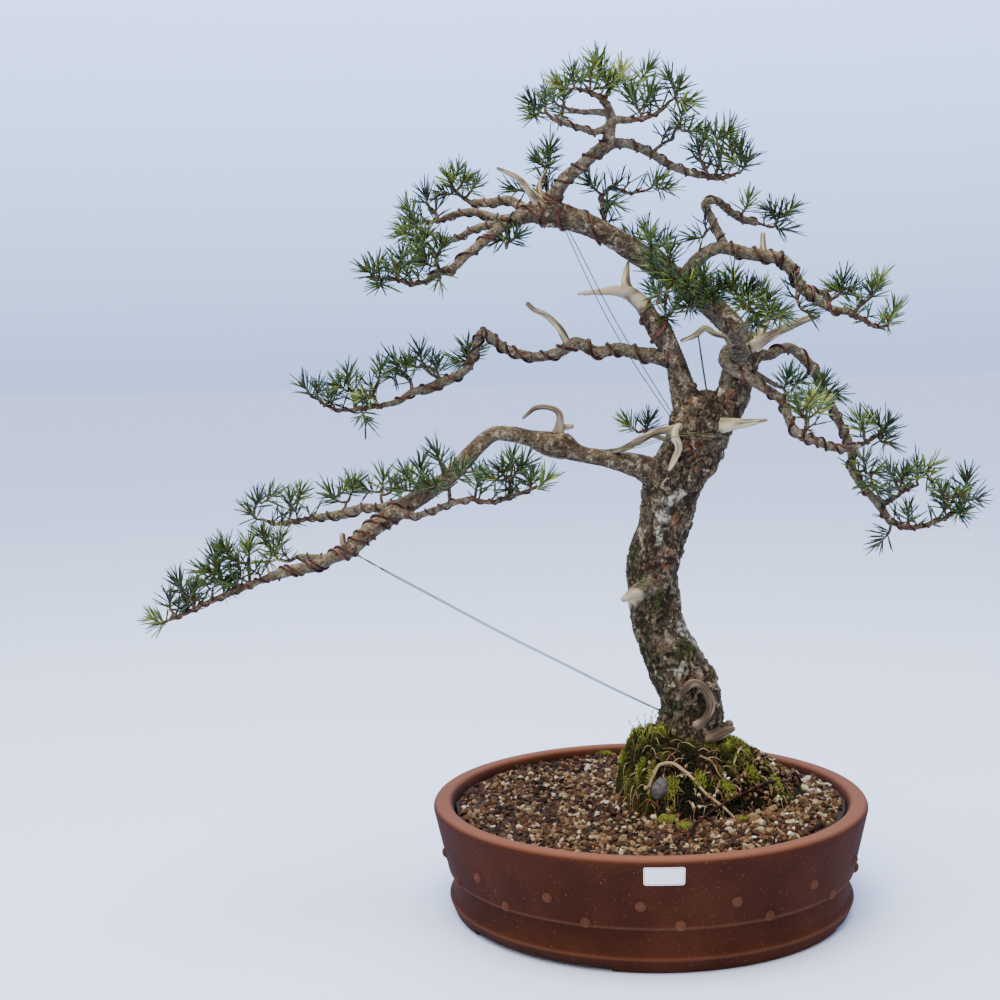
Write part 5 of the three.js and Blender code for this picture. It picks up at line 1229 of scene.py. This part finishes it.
def softened(outline, steps=5):
    """The outline with each corner rounded by a small curve."""
    made = [np.array(outline[0][:2], float)]
    for before, corner, after in zip(outline, outline[1:], outline[2:]):
        here = np.array(corner[:2], float)
        back, ahead = np.array(before[:2]) - here, np.array(after[:2]) - here
        cut = min(corner[2], 0.45 * np.linalg.norm(back), 0.45 * np.linalg.norm(ahead))
        start, end = here + unit(back) * cut, here + unit(ahead) * cut
        for t in np.linspace(0, 1, steps):
            made.append((1 - t) ** 2 * start + 2 * t * (1 - t) * here + t**2 * end)
    made.append(np.array(outline[-1][:2], float))
    return np.array(made)


def turned(profile, count):
    """A closed turned shape whose profile starts and ends on the axis."""
    angle = np.arange(count) * 2 * math.pi / count
    rings = profile[1:-1]
    corners = np.stack([rings[:, :1] * np.cos(angle), rings[:, :1] * np.sin(angle),
                        np.repeat(rings[:, 1:], count, axis=1)], axis=2).reshape(-1, 3)
    k = np.arange(count)
    a = (np.arange(len(rings) - 1)[:, None] * count + k).ravel()
    b = (np.arange(len(rings) - 1)[:, None] * count + (k + 1) % count).ravel()
    low, high, end = len(corners), len(corners) + 1, (len(rings) - 1) * count
    corners = np.concatenate([corners, [[0, 0, profile[0, 1]], [0, 0, profile[-1, 1]]]])
    faces = np.concatenate([
        np.stack([a, b, b + count], axis=1), np.stack([a, b + count, a + count], axis=1),
        np.stack([np.full(count, low), (k + 1) % count, k], axis=1),
        np.stack([np.full(count, high), end + k, end + (k + 1) % count], axis=1)])
    return corners, faces


drum = make_piece("pot", *turned(softened(OUTLINE), TURN), [stoneware])

# %% Cutting the channels and drain holes
HOLE_RADIUS, HOLE_FAR = 17, 115
CHANNEL_FIRST, CHANNEL_HALF, CHANNEL_INNER, CHANNEL_HIGH = -128.8, 23.5, 70, 4
cuts = Gathered()
for k in range(3):
    middle = math.radians(CHANNEL_FIRST + 120 * k)
    arc = middle + np.radians(np.linspace(-CHANNEL_HALF, CHANNEL_HALF, 25))
    flat = np.concatenate([
        np.stack([230 * np.cos(arc), 230 * np.sin(arc)], axis=1),
        np.stack([CHANNEL_INNER * np.cos(arc[::-1]), CHANNEL_INNER * np.sin(arc[::-1])], axis=1)])
    count = len(flat)
    corners = np.concatenate([np.column_stack([flat, np.full(count, z)]) for z in (-5, CHANNEL_HIGH)])
    i = np.arange(count)
    j = (i + 1) % count
    strip = np.arange(24)
    top = np.concatenate([np.stack([strip, strip + 1, count - 2 - strip], axis=1),
                          np.stack([strip, count - 2 - strip, count - 1 - strip], axis=1)])
    cuts.add(corners, np.concatenate([
        np.stack([i, j, j + count], axis=1), np.stack([i, j + count, i + count], axis=1),
        top[:, ::-1], top + count]))
    hole = np.array([[0, -6], [HOLE_RADIUS, -6], [HOLE_RADIUS, 30], [0, 30]], float)
    corners, faces = turned(hole, 40)
    cuts.add(corners + [HOLE_FAR * math.cos(middle), HOLE_FAR * math.sin(middle), 0], faces)
cutter = cuts.piece("cutter", [])
carve = drum.modifiers.new("carve", "BOOLEAN")
carve.operation, carve.solver, carve.object = "DIFFERENCE", "EXACT", cutter
carve.use_self = True
bpy.context.view_layer.update()
carved = bpy.data.meshes.new_from_object(drum.evaluated_get(bpy.context.evaluated_depsgraph_get()))
drum.modifiers.clear()
drum.data = carved
bpy.data.objects.remove(cutter)
crease = drum.modifiers.new("even shading", "WEIGHTED_NORMAL")
crease.keep_sharp = True
print("the carved drum has", len(drum.data.polygons), "faces")
settle(drum, "stoneware", "pot")

# %% Clay studs
def wall_radius(z):
    """The outer radius of the drum above its belt."""
    return 205 + (219.4 - 205) * (z - 42.6) / (106 - 42.6)


studs = Gathered()
draw = draw_of(7)
bowl = np.array([[0, -1.5], [5.2, -1.5], [5.2, 0.1], [4.8, 1.4], [3.9, 2.5], [2.4, 3.3], [1.0, 3.65], [0, 3.7]])
lean = math.atan2(219.4 - 205, 106 - 42.6)
for z, first in ((66, -31.4), (46.5, -21.6)):
    for k in range(15):
        angle = math.radians(first - 90 + 24 * k)
        corners, faces = turned(bowl * draw.uniform(0.93, 1.05), 14)
        out = np.array([math.cos(angle) * math.cos(lean), math.sin(angle) * math.cos(lean), -math.sin(lean)])
        level = np.array([-math.sin(angle), math.cos(angle), 0])
        up = np.cross(out, level)
        radius = wall_radius(z)
        middle = np.array([radius * math.cos(angle), radius * math.sin(angle), z])
        studs.add(middle + corners[:, :1] * level + corners[:, 1:2] * up + corners[:, 2:] * out, faces)
# The studs are coloured lighter than the wall: a painted highlight on the raised studs.
highlit = stoneware_finish("rubbed stoneware", [(0.36, "#492a1d"), (0.5, "#513022"), (0.66, "#5a3829")])
settle(studs.piece("clay_studs", [highlit]), "stoneware")

# %% [markdown]
# ## The label
#
# A small white vinyl label with a thin dark edge is stuck on the rim, left blank here. It bends with
# the drum, so it is a grid laid on the drum's curve with rounded corners.

# %% The blank label
LABEL_WIDE, LABEL_HIGH, LABEL_THICK, LABEL_Z, LABEL_ANGLE = 37, 18, 0.6, 95.8, -91.7


def on_drum(across, up, proud):
    """A place on the drum's wall: mm across and up from the label's middle, mm proud of the clay."""
    z = LABEL_Z + up * math.cos(lean)
    radius = wall_radius(z) + proud / math.cos(lean)
    angle = math.radians(LABEL_ANGLE) + across / wall_radius(LABEL_Z)
    return np.stack([radius * np.cos(angle), radius * np.sin(angle), z + 0 * across], axis=-1)


def label_sheet(wide, high, corner, thick, proud, steps=28):
    """A thin sheet with rounded corners, bent round the drum."""
    x = np.linspace(-wide / 2, wide / 2, steps)
    inset = np.maximum(np.abs(x) - (wide / 2 - corner), 0)
    half = high / 2 - corner + np.sqrt(np.maximum(corner**2 - inset**2, 0))
    front = np.stack([on_drum(x, half, proud + thick), on_drum(x, -half, proud + thick)], axis=1)
    rear = np.stack([on_drum(x, half, proud), on_drum(x, -half, proud)], axis=1)
    corners = np.concatenate([front, rear], axis=1).reshape(-1, 3)
    i = np.arange(steps - 1)[:, None] * 4
    quads = [(0, 1, 5, 4), (2, 6, 7, 3), (0, 4, 6, 2), (1, 3, 7, 5)]
    faces = [i + np.array([[q[0], q[1], q[2]]]) for q in quads] + [i + np.array([[q[0], q[2], q[3]]]) for q in quads]
    end = (steps - 1) * 4
    faces.append(np.array([[0, 2, 3], [0, 3, 1], [end, end + 1, end + 3], [end, end + 3, end + 2]]))
    return corners, np.concatenate(faces)


paper, _, paper_shader = finish("white vinyl", Roughness=0.35)
paper_shader.inputs["Base Color"].default_value = linear("#f1f3f4")
edge, _, edge_shader = finish("printed dark edge", Roughness=0.35)
edge_shader.inputs["Base Color"].default_value = linear("#4c5152")
stuck = Gathered()
stuck.add(*label_sheet(LABEL_WIDE, LABEL_HIGH, 1.6, LABEL_THICK * 0.6, 0.3), 0)
stuck.add(*label_sheet(LABEL_WIDE - 1.6, LABEL_HIGH - 1.6, 1.2, 0.12, 0.3 + LABEL_THICK * 0.6), 1)
stuck.add(*label_sheet(LABEL_WIDE - 2.5, LABEL_HIGH - 2.5, 0.9, 0.24, 0.3 + LABEL_THICK * 0.6), 0)
settle(stuck.piece("label", [paper, edge], flat=True), "label_paper", "pot_label")

# %% [markdown]
# ## The ground
#
# The tree is planted in fired clay gravel, sieved to about 4 to 7 mm, which drains fast and holds
# some water. Each grain is a small angular lump, so a ball of twenty faces with its corners moved is
# near enough, and thousands of them hide the soil bed below.

# %% The lie of the ground
POT_INNER = 196.5


def gravel_height(x, y):
    return 101 + 17 * np.exp(-(np.hypot(x - 48, y + 18) / 115) ** 2)


def leftness(angle):
    """How near an angle about the mound is to its left, which is steep and high: 0 to 1."""
    away = math.pi - np.abs(np.arctan2(np.sin(angle), np.cos(angle)))
    return np.exp(-(away / 0.85) ** 2)


def mound_reach(angle):
    return 1 + 0.05 * np.sin(3 * angle + 1) + 0.04 * np.sin(7 * angle) - 0.2 * leftness(angle)


def mound_angle(x, y):
    return np.arctan2((y + 18) / 82, (x - 48) / 100)


def moss_share(x, y):
    """0 in the middle of the moss mound, 1 at its edge."""
    return np.hypot((x - 48) / 100, (y + 18) / 82) / mound_reach(mound_angle(x, y))


def mound_height(x, y, share):
    """The mean height of the moss, at a share of the way out to its edge."""
    left = leftness(mound_angle(x, y))
    dome = np.maximum(0, 1 - share ** (2.2 + 2.8 * left)) ** (0.85 - 0.15 * left)
    rise = 19 * left * eased(share, 0.1, 0.6) * np.maximum(0, 1 - share**8)
    return gravel_height(x, y) + 3 + rise + 51 * dome


def ground_height(x, y):
    share = moss_share(x, y)
    return np.where(share < 1, mound_height(x, y, share), gravel_height(x, y))


def seen_on_ground(right, down, lift=0.0):
    """Where the sight line of a reading first meets the ground."""
    for back in np.arange(-230, 200, 0.5):
        place = seen(right, down, back)
        if place[2] <= ground_height(place[0], place[1]) + lift:
            return place
    return place


print("the trunk's foot stands at height", round(float(ground_height(48.0, -18.0)), 1), "mm")

# %% Gravel grains
BALL = np.array([[0, 1, 1.618], [0, -1, 1.618], [0, 1, -1.618], [0, -1, -1.618], [1, 1.618, 0], [-1, 1.618, 0],
                 [1, -1.618, 0], [-1, -1.618, 0], [1.618, 0, 1], [1.618, 0, -1], [-1.618, 0, 1], [-1.618, 0, -1]])
BALL = BALL / np.linalg.norm(BALL[0])
gaps = np.linalg.norm(BALL[:, None] - BALL[None], axis=2)
BALL_FACES = []
for i in range(12):
    for j in range(i + 1, 12):
        for k in range(j + 1, 12):
            if max(gaps[i, j], gaps[j, k], gaps[i, k]) < 1.1:
                turn = np.cross(BALL[j] - BALL[i], BALL[k] - BALL[i]) @ BALL[i]
                BALL_FACES.append((i, j, k) if turn > 0 else (i, k, j))
BALL_FACES = np.array(BALL_FACES)


def grain_shapes(places, radii, draw, flatness=(0.38, 0.85)):
    """Angular lumps at the given places."""
    count = len(places)
    lumps = BALL[None] * draw.uniform(0.6, 1.35, (count, 12, 1))
    lumps = lumps * np.stack([draw.uniform(0.8, 1.35, count), draw.uniform(0.7, 1.05, count),
                              draw.uniform(*flatness, count)], axis=1)[:, None]
    turn = draw.normal(size=(count, 4))
    w, x, y, z = unit(turn).T
    spin = np.stack([
        np.stack([1 - 2 * (y * y + z * z), 2 * (x * y - z * w), 2 * (x * z + y * w)], axis=1),
        np.stack([2 * (x * y + z * w), 1 - 2 * (x * x + z * z), 2 * (y * z - x * w)], axis=1),
        np.stack([2 * (x * z - y * w), 2 * (y * z + x * w), 1 - 2 * (x * x + y * y)], axis=1)], axis=1)
    corners = np.einsum("nij,nkj->nki", spin, lumps) * radii[:, None, None] + places[:, None]
    faces = BALL_FACES[None] + np.arange(count)[:, None, None] * 12
    return corners.reshape(-1, 3), faces.reshape(-1, 3)


def gravel_finish():
    material, tree, shader = finish("fired clay gravel", Roughness=0.95, Specular_IOR_Level=0.25)
    tone = node(tree, "ValToRGB", {}, stops=[
        (0.0, "#170f0a"), (0.14, "#2f1f18"), (0.24, "#452818"), (0.38, "#593b24"), (0.52, "#6f5338"),
        (0.64, "#886f4c"), (0.76, "#a89876"), (0.86, "#c6bca0"), (0.95, "#dedacd")],
        links={"Fac": node(tree, "Attribute", {"attribute_name": "tone"}).outputs["Fac"]})
    tone.color_ramp.interpolation = "CONSTANT"
    place = node(tree, "TexCoord").outputs["Object"]
    dirt = node(tree, "TexNoise", values={"Scale": per_mm(3), "Detail": 3.0}, links={"Vector": place})
    share = node(tree, "MapRange", values={"From Min": 0.35, "From Max": 0.7, "To Min": 0.55, "To Max": 0.0},
                 links={"Value": dirt.outputs["Fac"]}).outputs[0]
    dusty = node(tree, "Mix", {"data_type": "RGBA"}, {7: linear("#2b1f15")},
                 {0: share, 6: tone.outputs["Color"]}).outputs[2]
    tree.links.new(dusty, shader.inputs["Base Color"])
    return material


gravel_material = gravel_finish()
draw = draw_of(21)
rows = []
columns = np.arange(-200, 200, 6.0)
for i, y in enumerate(np.arange(-200, 200, 5.2)):
    rows.append(np.stack([columns + (i % 2) * 3.0, np.full(len(columns), y)], axis=1))
spread = np.concatenate(rows)
spread = np.concatenate([spread, draw.uniform(-197, 197, (1300, 2))])
spread += draw.uniform(-2.1, 2.1, spread.shape)
size = draw.uniform(2.2, 3.6, len(spread)) + 1.7 * draw.random(len(spread)) ** 5
size *= np.where(spread[:, 0] > 40, 1.12, 1.0)
keep = (np.hypot(*spread.T) < POT_INNER - size - 1) & (moss_share(*spread.T) > 0.93)
spread, size = spread[keep], size[keep]
lift = gravel_height(*spread.T) + size * draw.uniform(-0.1, 0.6, len(size))
corners, faces = grain_shapes(np.column_stack([spread, lift]), size, draw)
paleness = np.clip(draw.beta(1.5, 1.7, len(size)) + 0.08 * (spread[:, 0] > 50) - 0.04, 0, 1)
grains = Gathered("tone")
grains.add(corners, faces, tone=np.repeat(paleness, 12))
count = 420
out, around = draw.uniform(0.5, 1.05, count) ** 0.7, draw.uniform(-2.4, 1.2, count)
strewn = np.stack([48 + 100 * out * np.cos(around), -18 + 82 * out * np.sin(around)], axis=1)
strewn = strewn[draw.random(count) < 0.25 + 0.75 * eased(strewn[:, 0], 20, 90)]
size = draw.uniform(1.9, 3.2, len(strewn))
places = np.column_stack([strewn, ground_height(*strewn.T) + 1.2])
corners, faces = grain_shapes(places, size, draw)
grains.add(corners, faces, tone=np.repeat(np.clip(draw.beta(2, 1.7, len(size)), 0, 1), 12))
settle(grains.piece("gravel_grains", [gravel_material], flat=True), "akadama_gravel")

soil, _, soil_shader = finish("damp clay soil", Roughness=0.95, Specular_IOR_Level=0.2)
soil_shader.inputs["Base Color"].default_value = linear("#2a1e14")
bpy.data.objects["gravel_soil"].data.materials.clear()
bpy.data.objects["gravel_soil"].data.materials.append(soil)

# %% [markdown]
# ## Moss, roots and stone
#
# The roots sit high in a mound of moss: cushions of yellow-green shoots with hollows between
# them. The cushions are raised with noise, with painted light on their tops and painted shade in
# their hollows, and thousands of tiny upright blades break up their edge.
# Pale thin roots, a stone and the rusty wire that ties the root ball down lie on it.

# %% The moss mound
def moss_finish():
    material, tree, shader = finish("cushion moss", Roughness=0.95, Specular_IOR_Level=0.15)
    value = {name: node(tree, "Attribute", {"attribute_name": name}).outputs["Fac"] for name in ("tone", "dirt")}
    tone = node(tree, "ValToRGB", links={"Fac": value["tone"]}, stops=[
        (0.0, "#12110a"), (0.24, "#22230c"), (0.46, "#3a3d13"), (0.68, "#555b1c"), (0.86, "#6d7529"),
        (1.0, "#939546")])
    earth = node(tree, "Mix", {"data_type": "RGBA"}, {7: linear("#1d140c")},
                 {0: value["dirt"], 6: tone.outputs["Color"]}).outputs[2]
    tree.links.new(earth, shader.inputs["Base Color"])
    return material


moss_material = moss_finish()


def moss_relief(x, y):
    """How far the cushions stand above the mound's mean height."""
    flat = np.column_stack([x, y, 0 * x])
    flat[:, :2] += 7 * np.column_stack([cloud(flat / 9, 89), cloud(flat / 9, 90)])
    gap, _ = plates(flat / 17, 91)
    small, _ = plates(flat / 7, 92)
    return (7.5 * eased(gap, 0.0, 0.6) + 3.5 * eased(small, 0, 0.5) + 9 * (cloud(flat / 26, 93) - 0.5)
            + 2.8 * (cloud(flat / 3, 94) - 0.5) - 6.4)


ROUND, OUT = 230, 64
share = np.linspace(0, 1.0, OUT + 1)[1:]
angle = np.arange(ROUND) * 2 * math.pi / ROUND
wobble = mound_reach(angle)
x = 48 + 100 * (share[:, None] * np.cos(angle) * wobble).ravel()
y = -18 + 82 * (share[:, None] * np.sin(angle) * wobble).ravel()
inside = np.repeat(np.minimum(share, 0.9999), ROUND)
z = mound_height(x, y, inside) + moss_relief(x, y) * eased(1 - inside, 0, 0.12)
edge_ring = slice((OUT - 1) * ROUND, OUT * ROUND)
z[edge_ring] = gravel_height(x[edge_ring], y[edge_ring]) - 2
middle_z = float(gravel_height(48.0, -18.0)) + 54
corners = np.concatenate([np.column_stack([x, y, z]), [[48, -18, middle_z], [48, -18, 96]]])
k = np.arange(ROUND)
a = (np.arange(OUT - 1)[:, None] * ROUND + k).ravel()
b = (np.arange(OUT - 1)[:, None] * ROUND + (k + 1) % ROUND).ravel()
end = (OUT - 1) * ROUND
faces = np.concatenate([
    np.stack([a, a + ROUND, b + ROUND], axis=1), np.stack([a, b + ROUND, b], axis=1),
    np.stack([np.full(ROUND, OUT * ROUND), k, (k + 1) % ROUND], axis=1),
    np.stack([np.full(ROUND, OUT * ROUND + 1), end + (k + 1) % ROUND, end + k], axis=1)])


def moss_tone_and_shade(x, y, seed=95):
    flat = np.column_stack([x, y, 0 * x])
    bright = cloud(flat / 24, seed)
    # Random brightness plus the cushion relief: tops lighter and hollows darker, as painted light and shade.
    return np.clip(0.16 + 0.62 * bright + 0.075 * moss_relief(x, y) + 0.2 * (cloud(flat / 5, seed + 1) - 0.5), 0, 1)


def bare_earth(x, y):
    """Where the mound's skin is bare soil, needles and dead moss: most on its right."""
    flat = np.column_stack([x, y, 0 * x])
    return eased(cloud(flat / 16, 97) + 0.3 * (cloud(flat / 5, 98) - 0.5) + 0.0012 * (x - 60), 0.7, 0.86)


cushion = Gathered("tone", "dirt")
ends = np.array([0.4, 0.0])
cushion.add(corners, faces, tone=np.concatenate([moss_tone_and_shade(x, y), ends]),
            dirt=np.concatenate([bare_earth(x, y), ends * 0]))

draw = draw_of(33)
count = 27000
out = np.sqrt(draw.random(count)) * 0.985
around = draw.random(count) * 2 * math.pi
wide = mound_reach(around)
px = 48 + 100 * out * np.cos(around) * wide
py = -18 + 82 * out * np.sin(around) * wide
pz = mound_height(px, py, out) + moss_relief(px, py) * eased(1 - out, 0, 0.12)
keep = bare_earth(px, py) < draw.random(count)
px, py, pz = px[keep], py[keep], pz[keep]


def blade_shapes(places, ways, tall, wide, draw):
    """Tiny three-sided spikes."""
    side = unit(np.cross(ways, draw.normal(size=ways.shape)))
    other = np.cross(ways, side)
    turn = np.arange(3) * 2 * math.pi / 3
    foot = (places[:, None] + wide[:, None, None]
            * (np.cos(turn)[:, None] * side[:, None] + np.sin(turn)[:, None] * other[:, None]))
    corners = np.concatenate([foot, (places + ways * tall[:, None])[:, None]], axis=1)
    faces = np.array([[0, 1, 3], [1, 2, 3], [2, 0, 3], [0, 2, 1]])[None] + np.arange(len(places))[:, None, None] * 4
    return corners.reshape(-1, 3), faces.reshape(-1, 3)


slope = np.column_stack([(px - 48) / 100, (py + 18) / 82, np.full(len(px), 0.9)])
ways = unit(slope + draw.normal(0, 0.35, slope.shape))
corners, faces = blade_shapes(np.column_stack([px, py, pz - 0.4]), ways, draw.uniform(1.8, 5.0, len(px)),
                              draw.uniform(0.5, 0.95, len(px)), draw)
cushion.add(corners, faces, tone=np.repeat(np.clip(moss_tone_and_shade(px, py) + draw.normal(0.06, 0.15, len(px)), 0, 1), 4))
settle(cushion.piece("moss_cushion", [moss_material]), "moss", "moss_mound")

# %% Moss spots, sprouts and litter
draw = draw_of(35)
small = Gathered("tone", "dirt")
for right, down, radius, count in ((668, 822, 10, 330), (686, 829, 8, 240), (735, 742, 12, 260), (512, 768, 6, 90),
                                   (600, 748, 8, 170), (742, 822, 5, 70), (727, 792, 8, 160),
                                   (672, 790, 8, 150), (524, 762, 5, 60), (607, 756, 6, 110),
                                   (700, 783, 8, 140), (752, 776, 8, 130), (548, 757, 5, 60)):
    place = seen_on_ground(right, down)
    near = place[:2] + draw.normal(0, radius * 0.45, (count, 2))
    high = ground_height(*near.T) + 1.5 + 2.5 * np.exp(-(np.linalg.norm(near - place[:2], axis=1) / radius) ** 2)
    ways = unit(np.array([0, 0, 1.0]) + draw.normal(0, 0.4, (count, 3)))
    corners, faces = blade_shapes(np.column_stack([near, high - 1.5]), ways, draw.uniform(3, 5.5, count),
                                  draw.uniform(0.7, 1.2, count), draw)
    small.add(corners, faces, tone=np.repeat(draw.uniform(0.5, 0.88, count), 4))
for _ in range(46):
    place = seen_on_ground(draw.uniform(621, 654), draw.uniform(724, 742))
    if place[2] > ground_height(place[0], place[1]) + 3:
        continue
    top = place + [draw.normal(0, 3), draw.normal(0, 3), draw.uniform(6, 15)]
    small.add(*tube(smooth_line([[*(place - [0, 0, 2]), 0.4], [*((place + top) / 2 + draw.normal(0, 0.8, 3)), 0.32],
                                 [*top, 0.28]], 4), 4), tone=0.8)
    small.add(*tube(np.array([[*top, 0.5], [*(top + [0.4, 0, 0.9]), 0.85], [*(top + [0.6, 0, 1.8]), 0.3]]), 5), tone=1.0)
settle(small.piece("moss_spots_and_sprouts", [moss_material]), "moss")

# %% Roots, tie wire and stone
root_material, root_tree, root_shader = finish("thin pine roots", Roughness=0.85, Specular_IOR_Level=0.25)
root_tone = node(root_tree, "ValToRGB", stops=[(0.0, "#2c1a10"), (0.35, "#5a361f"), (0.7, "#7d6347"), (1.0, "#a08d6c")],
                 links={"Fac": node(root_tree, "Attribute", {"attribute_name": "tone"}).outputs["Fac"]})
root_tree.links.new(root_tone.outputs["Color"], root_shader.inputs["Base Color"])
ROOTS = [  # radius at the start, paleness, lift, then readings
    (2.1, 0.85, 2.2, [(648, 790), (653, 776), (660, 765), (671, 763), (683, 770), (695, 781), (706, 794), (722, 806),
                      (740, 820)]),
    (1.6, 0.3, 1.4, [(640, 803), (648, 800), (656, 804), (662, 808)]),
    (1.1, 0.75, 1.6, [(620, 790), (628, 781), (638, 772), (648, 764)]),
    (1.0, 0.7, 1.4, [(632, 800), (636, 792), (641, 785), (648, 782)]),
    (1.3, 0.9, 2.2, [(743, 743), (738, 752), (731, 768)]),
    (1.2, 0.6, 1.6, [(700, 752), (712, 762), (720, 776), (734, 786)]),
    (1.0, 0.5, 1.4, [(676, 748), (668, 758), (664, 770)]),
    (0.9, 0.8, 1.2, [(756, 770), (766, 779), (772, 792)]),
]
thin = Gathered("tone")
for radius, paleness, lift, readings in ROOTS:
    places = [seen_on_ground(right, down, lift) for right, down in readings]
    places[0] = places[0] - [0, 0, 4.0]
    places[-1] = places[-1] - [0, 0, 4.0]
    radii = np.linspace(radius, radius * 0.55, len(places))
    thin.add(*knobbly(smooth_line(np.column_stack([places, radii]), 2), 8, 0.38, 7), tone=paleness)
draw = draw_of(37)
for _ in range(230):
    place = seen_on_ground(draw.uniform(618, 785), draw.uniform(726, 818), 1.6)
    way = unit(np.array([*draw.normal(size=2), draw.normal(0, 0.2)]))
    if place[2] > ground_height(place[0], place[1]) + 3 or np.hypot(*place[:2]) > POT_INNER - 12:
        continue
    length = draw.uniform(7, 20)
    ends = place + np.array([[-0.5], [0.5]]) * way * length
    ends[:, 2] = np.minimum(ends[:, 2], ground_height(*ends[:, :2].T) + 0.8)
    thin.add(*tube(smooth_line([[*ends[0], 0.3], [*(place + [0, 0, 1.5]), 0.42], [*ends[1], 0.25]], 3), 5),
             tone=draw.uniform(0.0, 1.0))
settle(thin.piece("thin_roots_and_litter", [root_material]), "moss")

TIE = [(688, 837), (700, 820), (720, 806), (742, 794), (765, 783), (784, 781), (801, 782)]
places = np.array([seen_on_ground(right, down, 5.5) for right, down in TIE])
places = np.concatenate([[places[0] + [-3, -2, -13]], places, [places[-1] + [5, 0, -13]]])
tied = Gathered()
line = smooth_line(np.column_stack([places, np.full(len(places), 1.3)]), 1.5)
tied.add(*tube(line, 9))
tied.add(*tube(coil_rows(line, 0.74, 0.86, 4, 0.9), 7))
settle(tied.piece("tie_wire", [rust]), "rusty_wire", "tie_down_wire")

stone_material, stone_tree, stone_shader = finish("grey slate", Roughness=0.7)
stone_noise = node(stone_tree, "TexNoise", values={"Scale": per_mm(4), "Detail": 5.0},
                   links={"Vector": node(stone_tree, "TexCoord").outputs["Object"]})
stone_tone = node(stone_tree, "ValToRGB", links={"Fac": stone_noise.outputs["Fac"]},
                  stops=[(0.35, "#2b2726"), (0.52, "#453f3d"), (0.68, "#635c58")])
stone_tree.links.new(stone_tone.outputs["Color"], stone_shader.inputs["Base Color"])
sphere = bpy.data.meshes.new("pebble")
import bmesh
shape = bmesh.new()
bmesh.ops.create_icosphere(shape, subdivisions=4, radius=1.0)
bmesh.ops.triangulate(shape, faces=shape.faces)
ball = np.array([v.co for v in shape.verts])
ball_faces = np.array([[v.index for v in f.verts] for f in shape.faces])
shape.free()
flat_cut = ball * (1 + 0.16 * (cloud(ball * 1.6 + 3, 5) - 0.5)[:, None] + 0.05 * (cloud(ball * 6, 6) - 0.5)[:, None])
tilt = Matrix.Rotation(0.3, 3, "Y")
stone_at = seen_on_ground(661, 789, 2)
flat_cut[:, :2] *= 1 - 0.28 * np.clip(flat_cut[:, 2:], 0, 1)
stone = make_piece("stone", flat_cut * [9, 6.5, 12] @ np.array(tilt).T + stone_at, ball_faces, [stone_material])
settle(stone, "slate", "mound_stone")

# %% [markdown]
# ## Light and floor
#
# The tree is shown on a plain pale floor under soft, slightly cool daylight, so that the dark
# needles and the brown pot read against it.

# %% The studio
floor_material, floor_tree, floor_shader = finish("pale floor", Roughness=0.9)
floor_shader.inputs["Base Color"].default_value = linear("#d6e2fb")
bpy.ops.mesh.primitive_plane_add(size=60, location=(0, 0, -0.0005))
floor = bpy.context.object
floor.name = "floor"
floor.data.materials.append(floor_material)

world = bpy.data.worlds.new("daylight")
world.use_nodes = True
sky = world.node_tree
direction = node(sky, "SeparateXYZ", links={0: node(sky, "TexCoord").outputs["Generated"]}).outputs
behind = node(sky, "MapRange", values={"From Min": -0.3, "From Max": 0.75}, links={"Value": direction["Y"]})
above = node(sky, "MapRange", values={"From Min": 0.0, "From Max": 0.3, "To Min": 1.8, "To Max": 4.2},
             links={"Value": direction["Z"]})
strength = node(sky, "Mix", values={2: 0.7}, links={0: behind.outputs[0], 3: above.outputs[0]})
tint = node(sky, "Mix", {"data_type": "RGBA"}, {6: linear("#f8f4f2"), 7: linear("#adc8ff")},
            {0: behind.outputs[0]})
sky.links.new(strength.outputs[0], sky.nodes["Background"].inputs["Strength"])
sky.links.new(tint.outputs[2], sky.nodes["Background"].inputs["Color"])
bpy.context.scene.world = world


def soft_light(name, place, target, size, power, code="#ffffff"):
    lamp = bpy.data.objects.new(name, bpy.data.lights.new(name, "AREA"))
    lamp.data.size = size
    lamp.data.energy = power
    lamp.data.color = linear(code)[:3]
    aim = Vector(target) - Vector(place)
    lamp.rotation_euler = aim.to_track_quat("-Z", "Y").to_euler()
    lamp.location = place
    bpy.context.scene.collection.objects.link(lamp)
    return lamp


soft_light("sky", (-0.3, -0.5, 3.2), (0, 0, 0.3), 2.2, 190, "#fffaf4")
soft_light("window", (-1.4, -2.8, 2.5), (0, 0, 0.3), 1.8, 62, "#fff8f0")
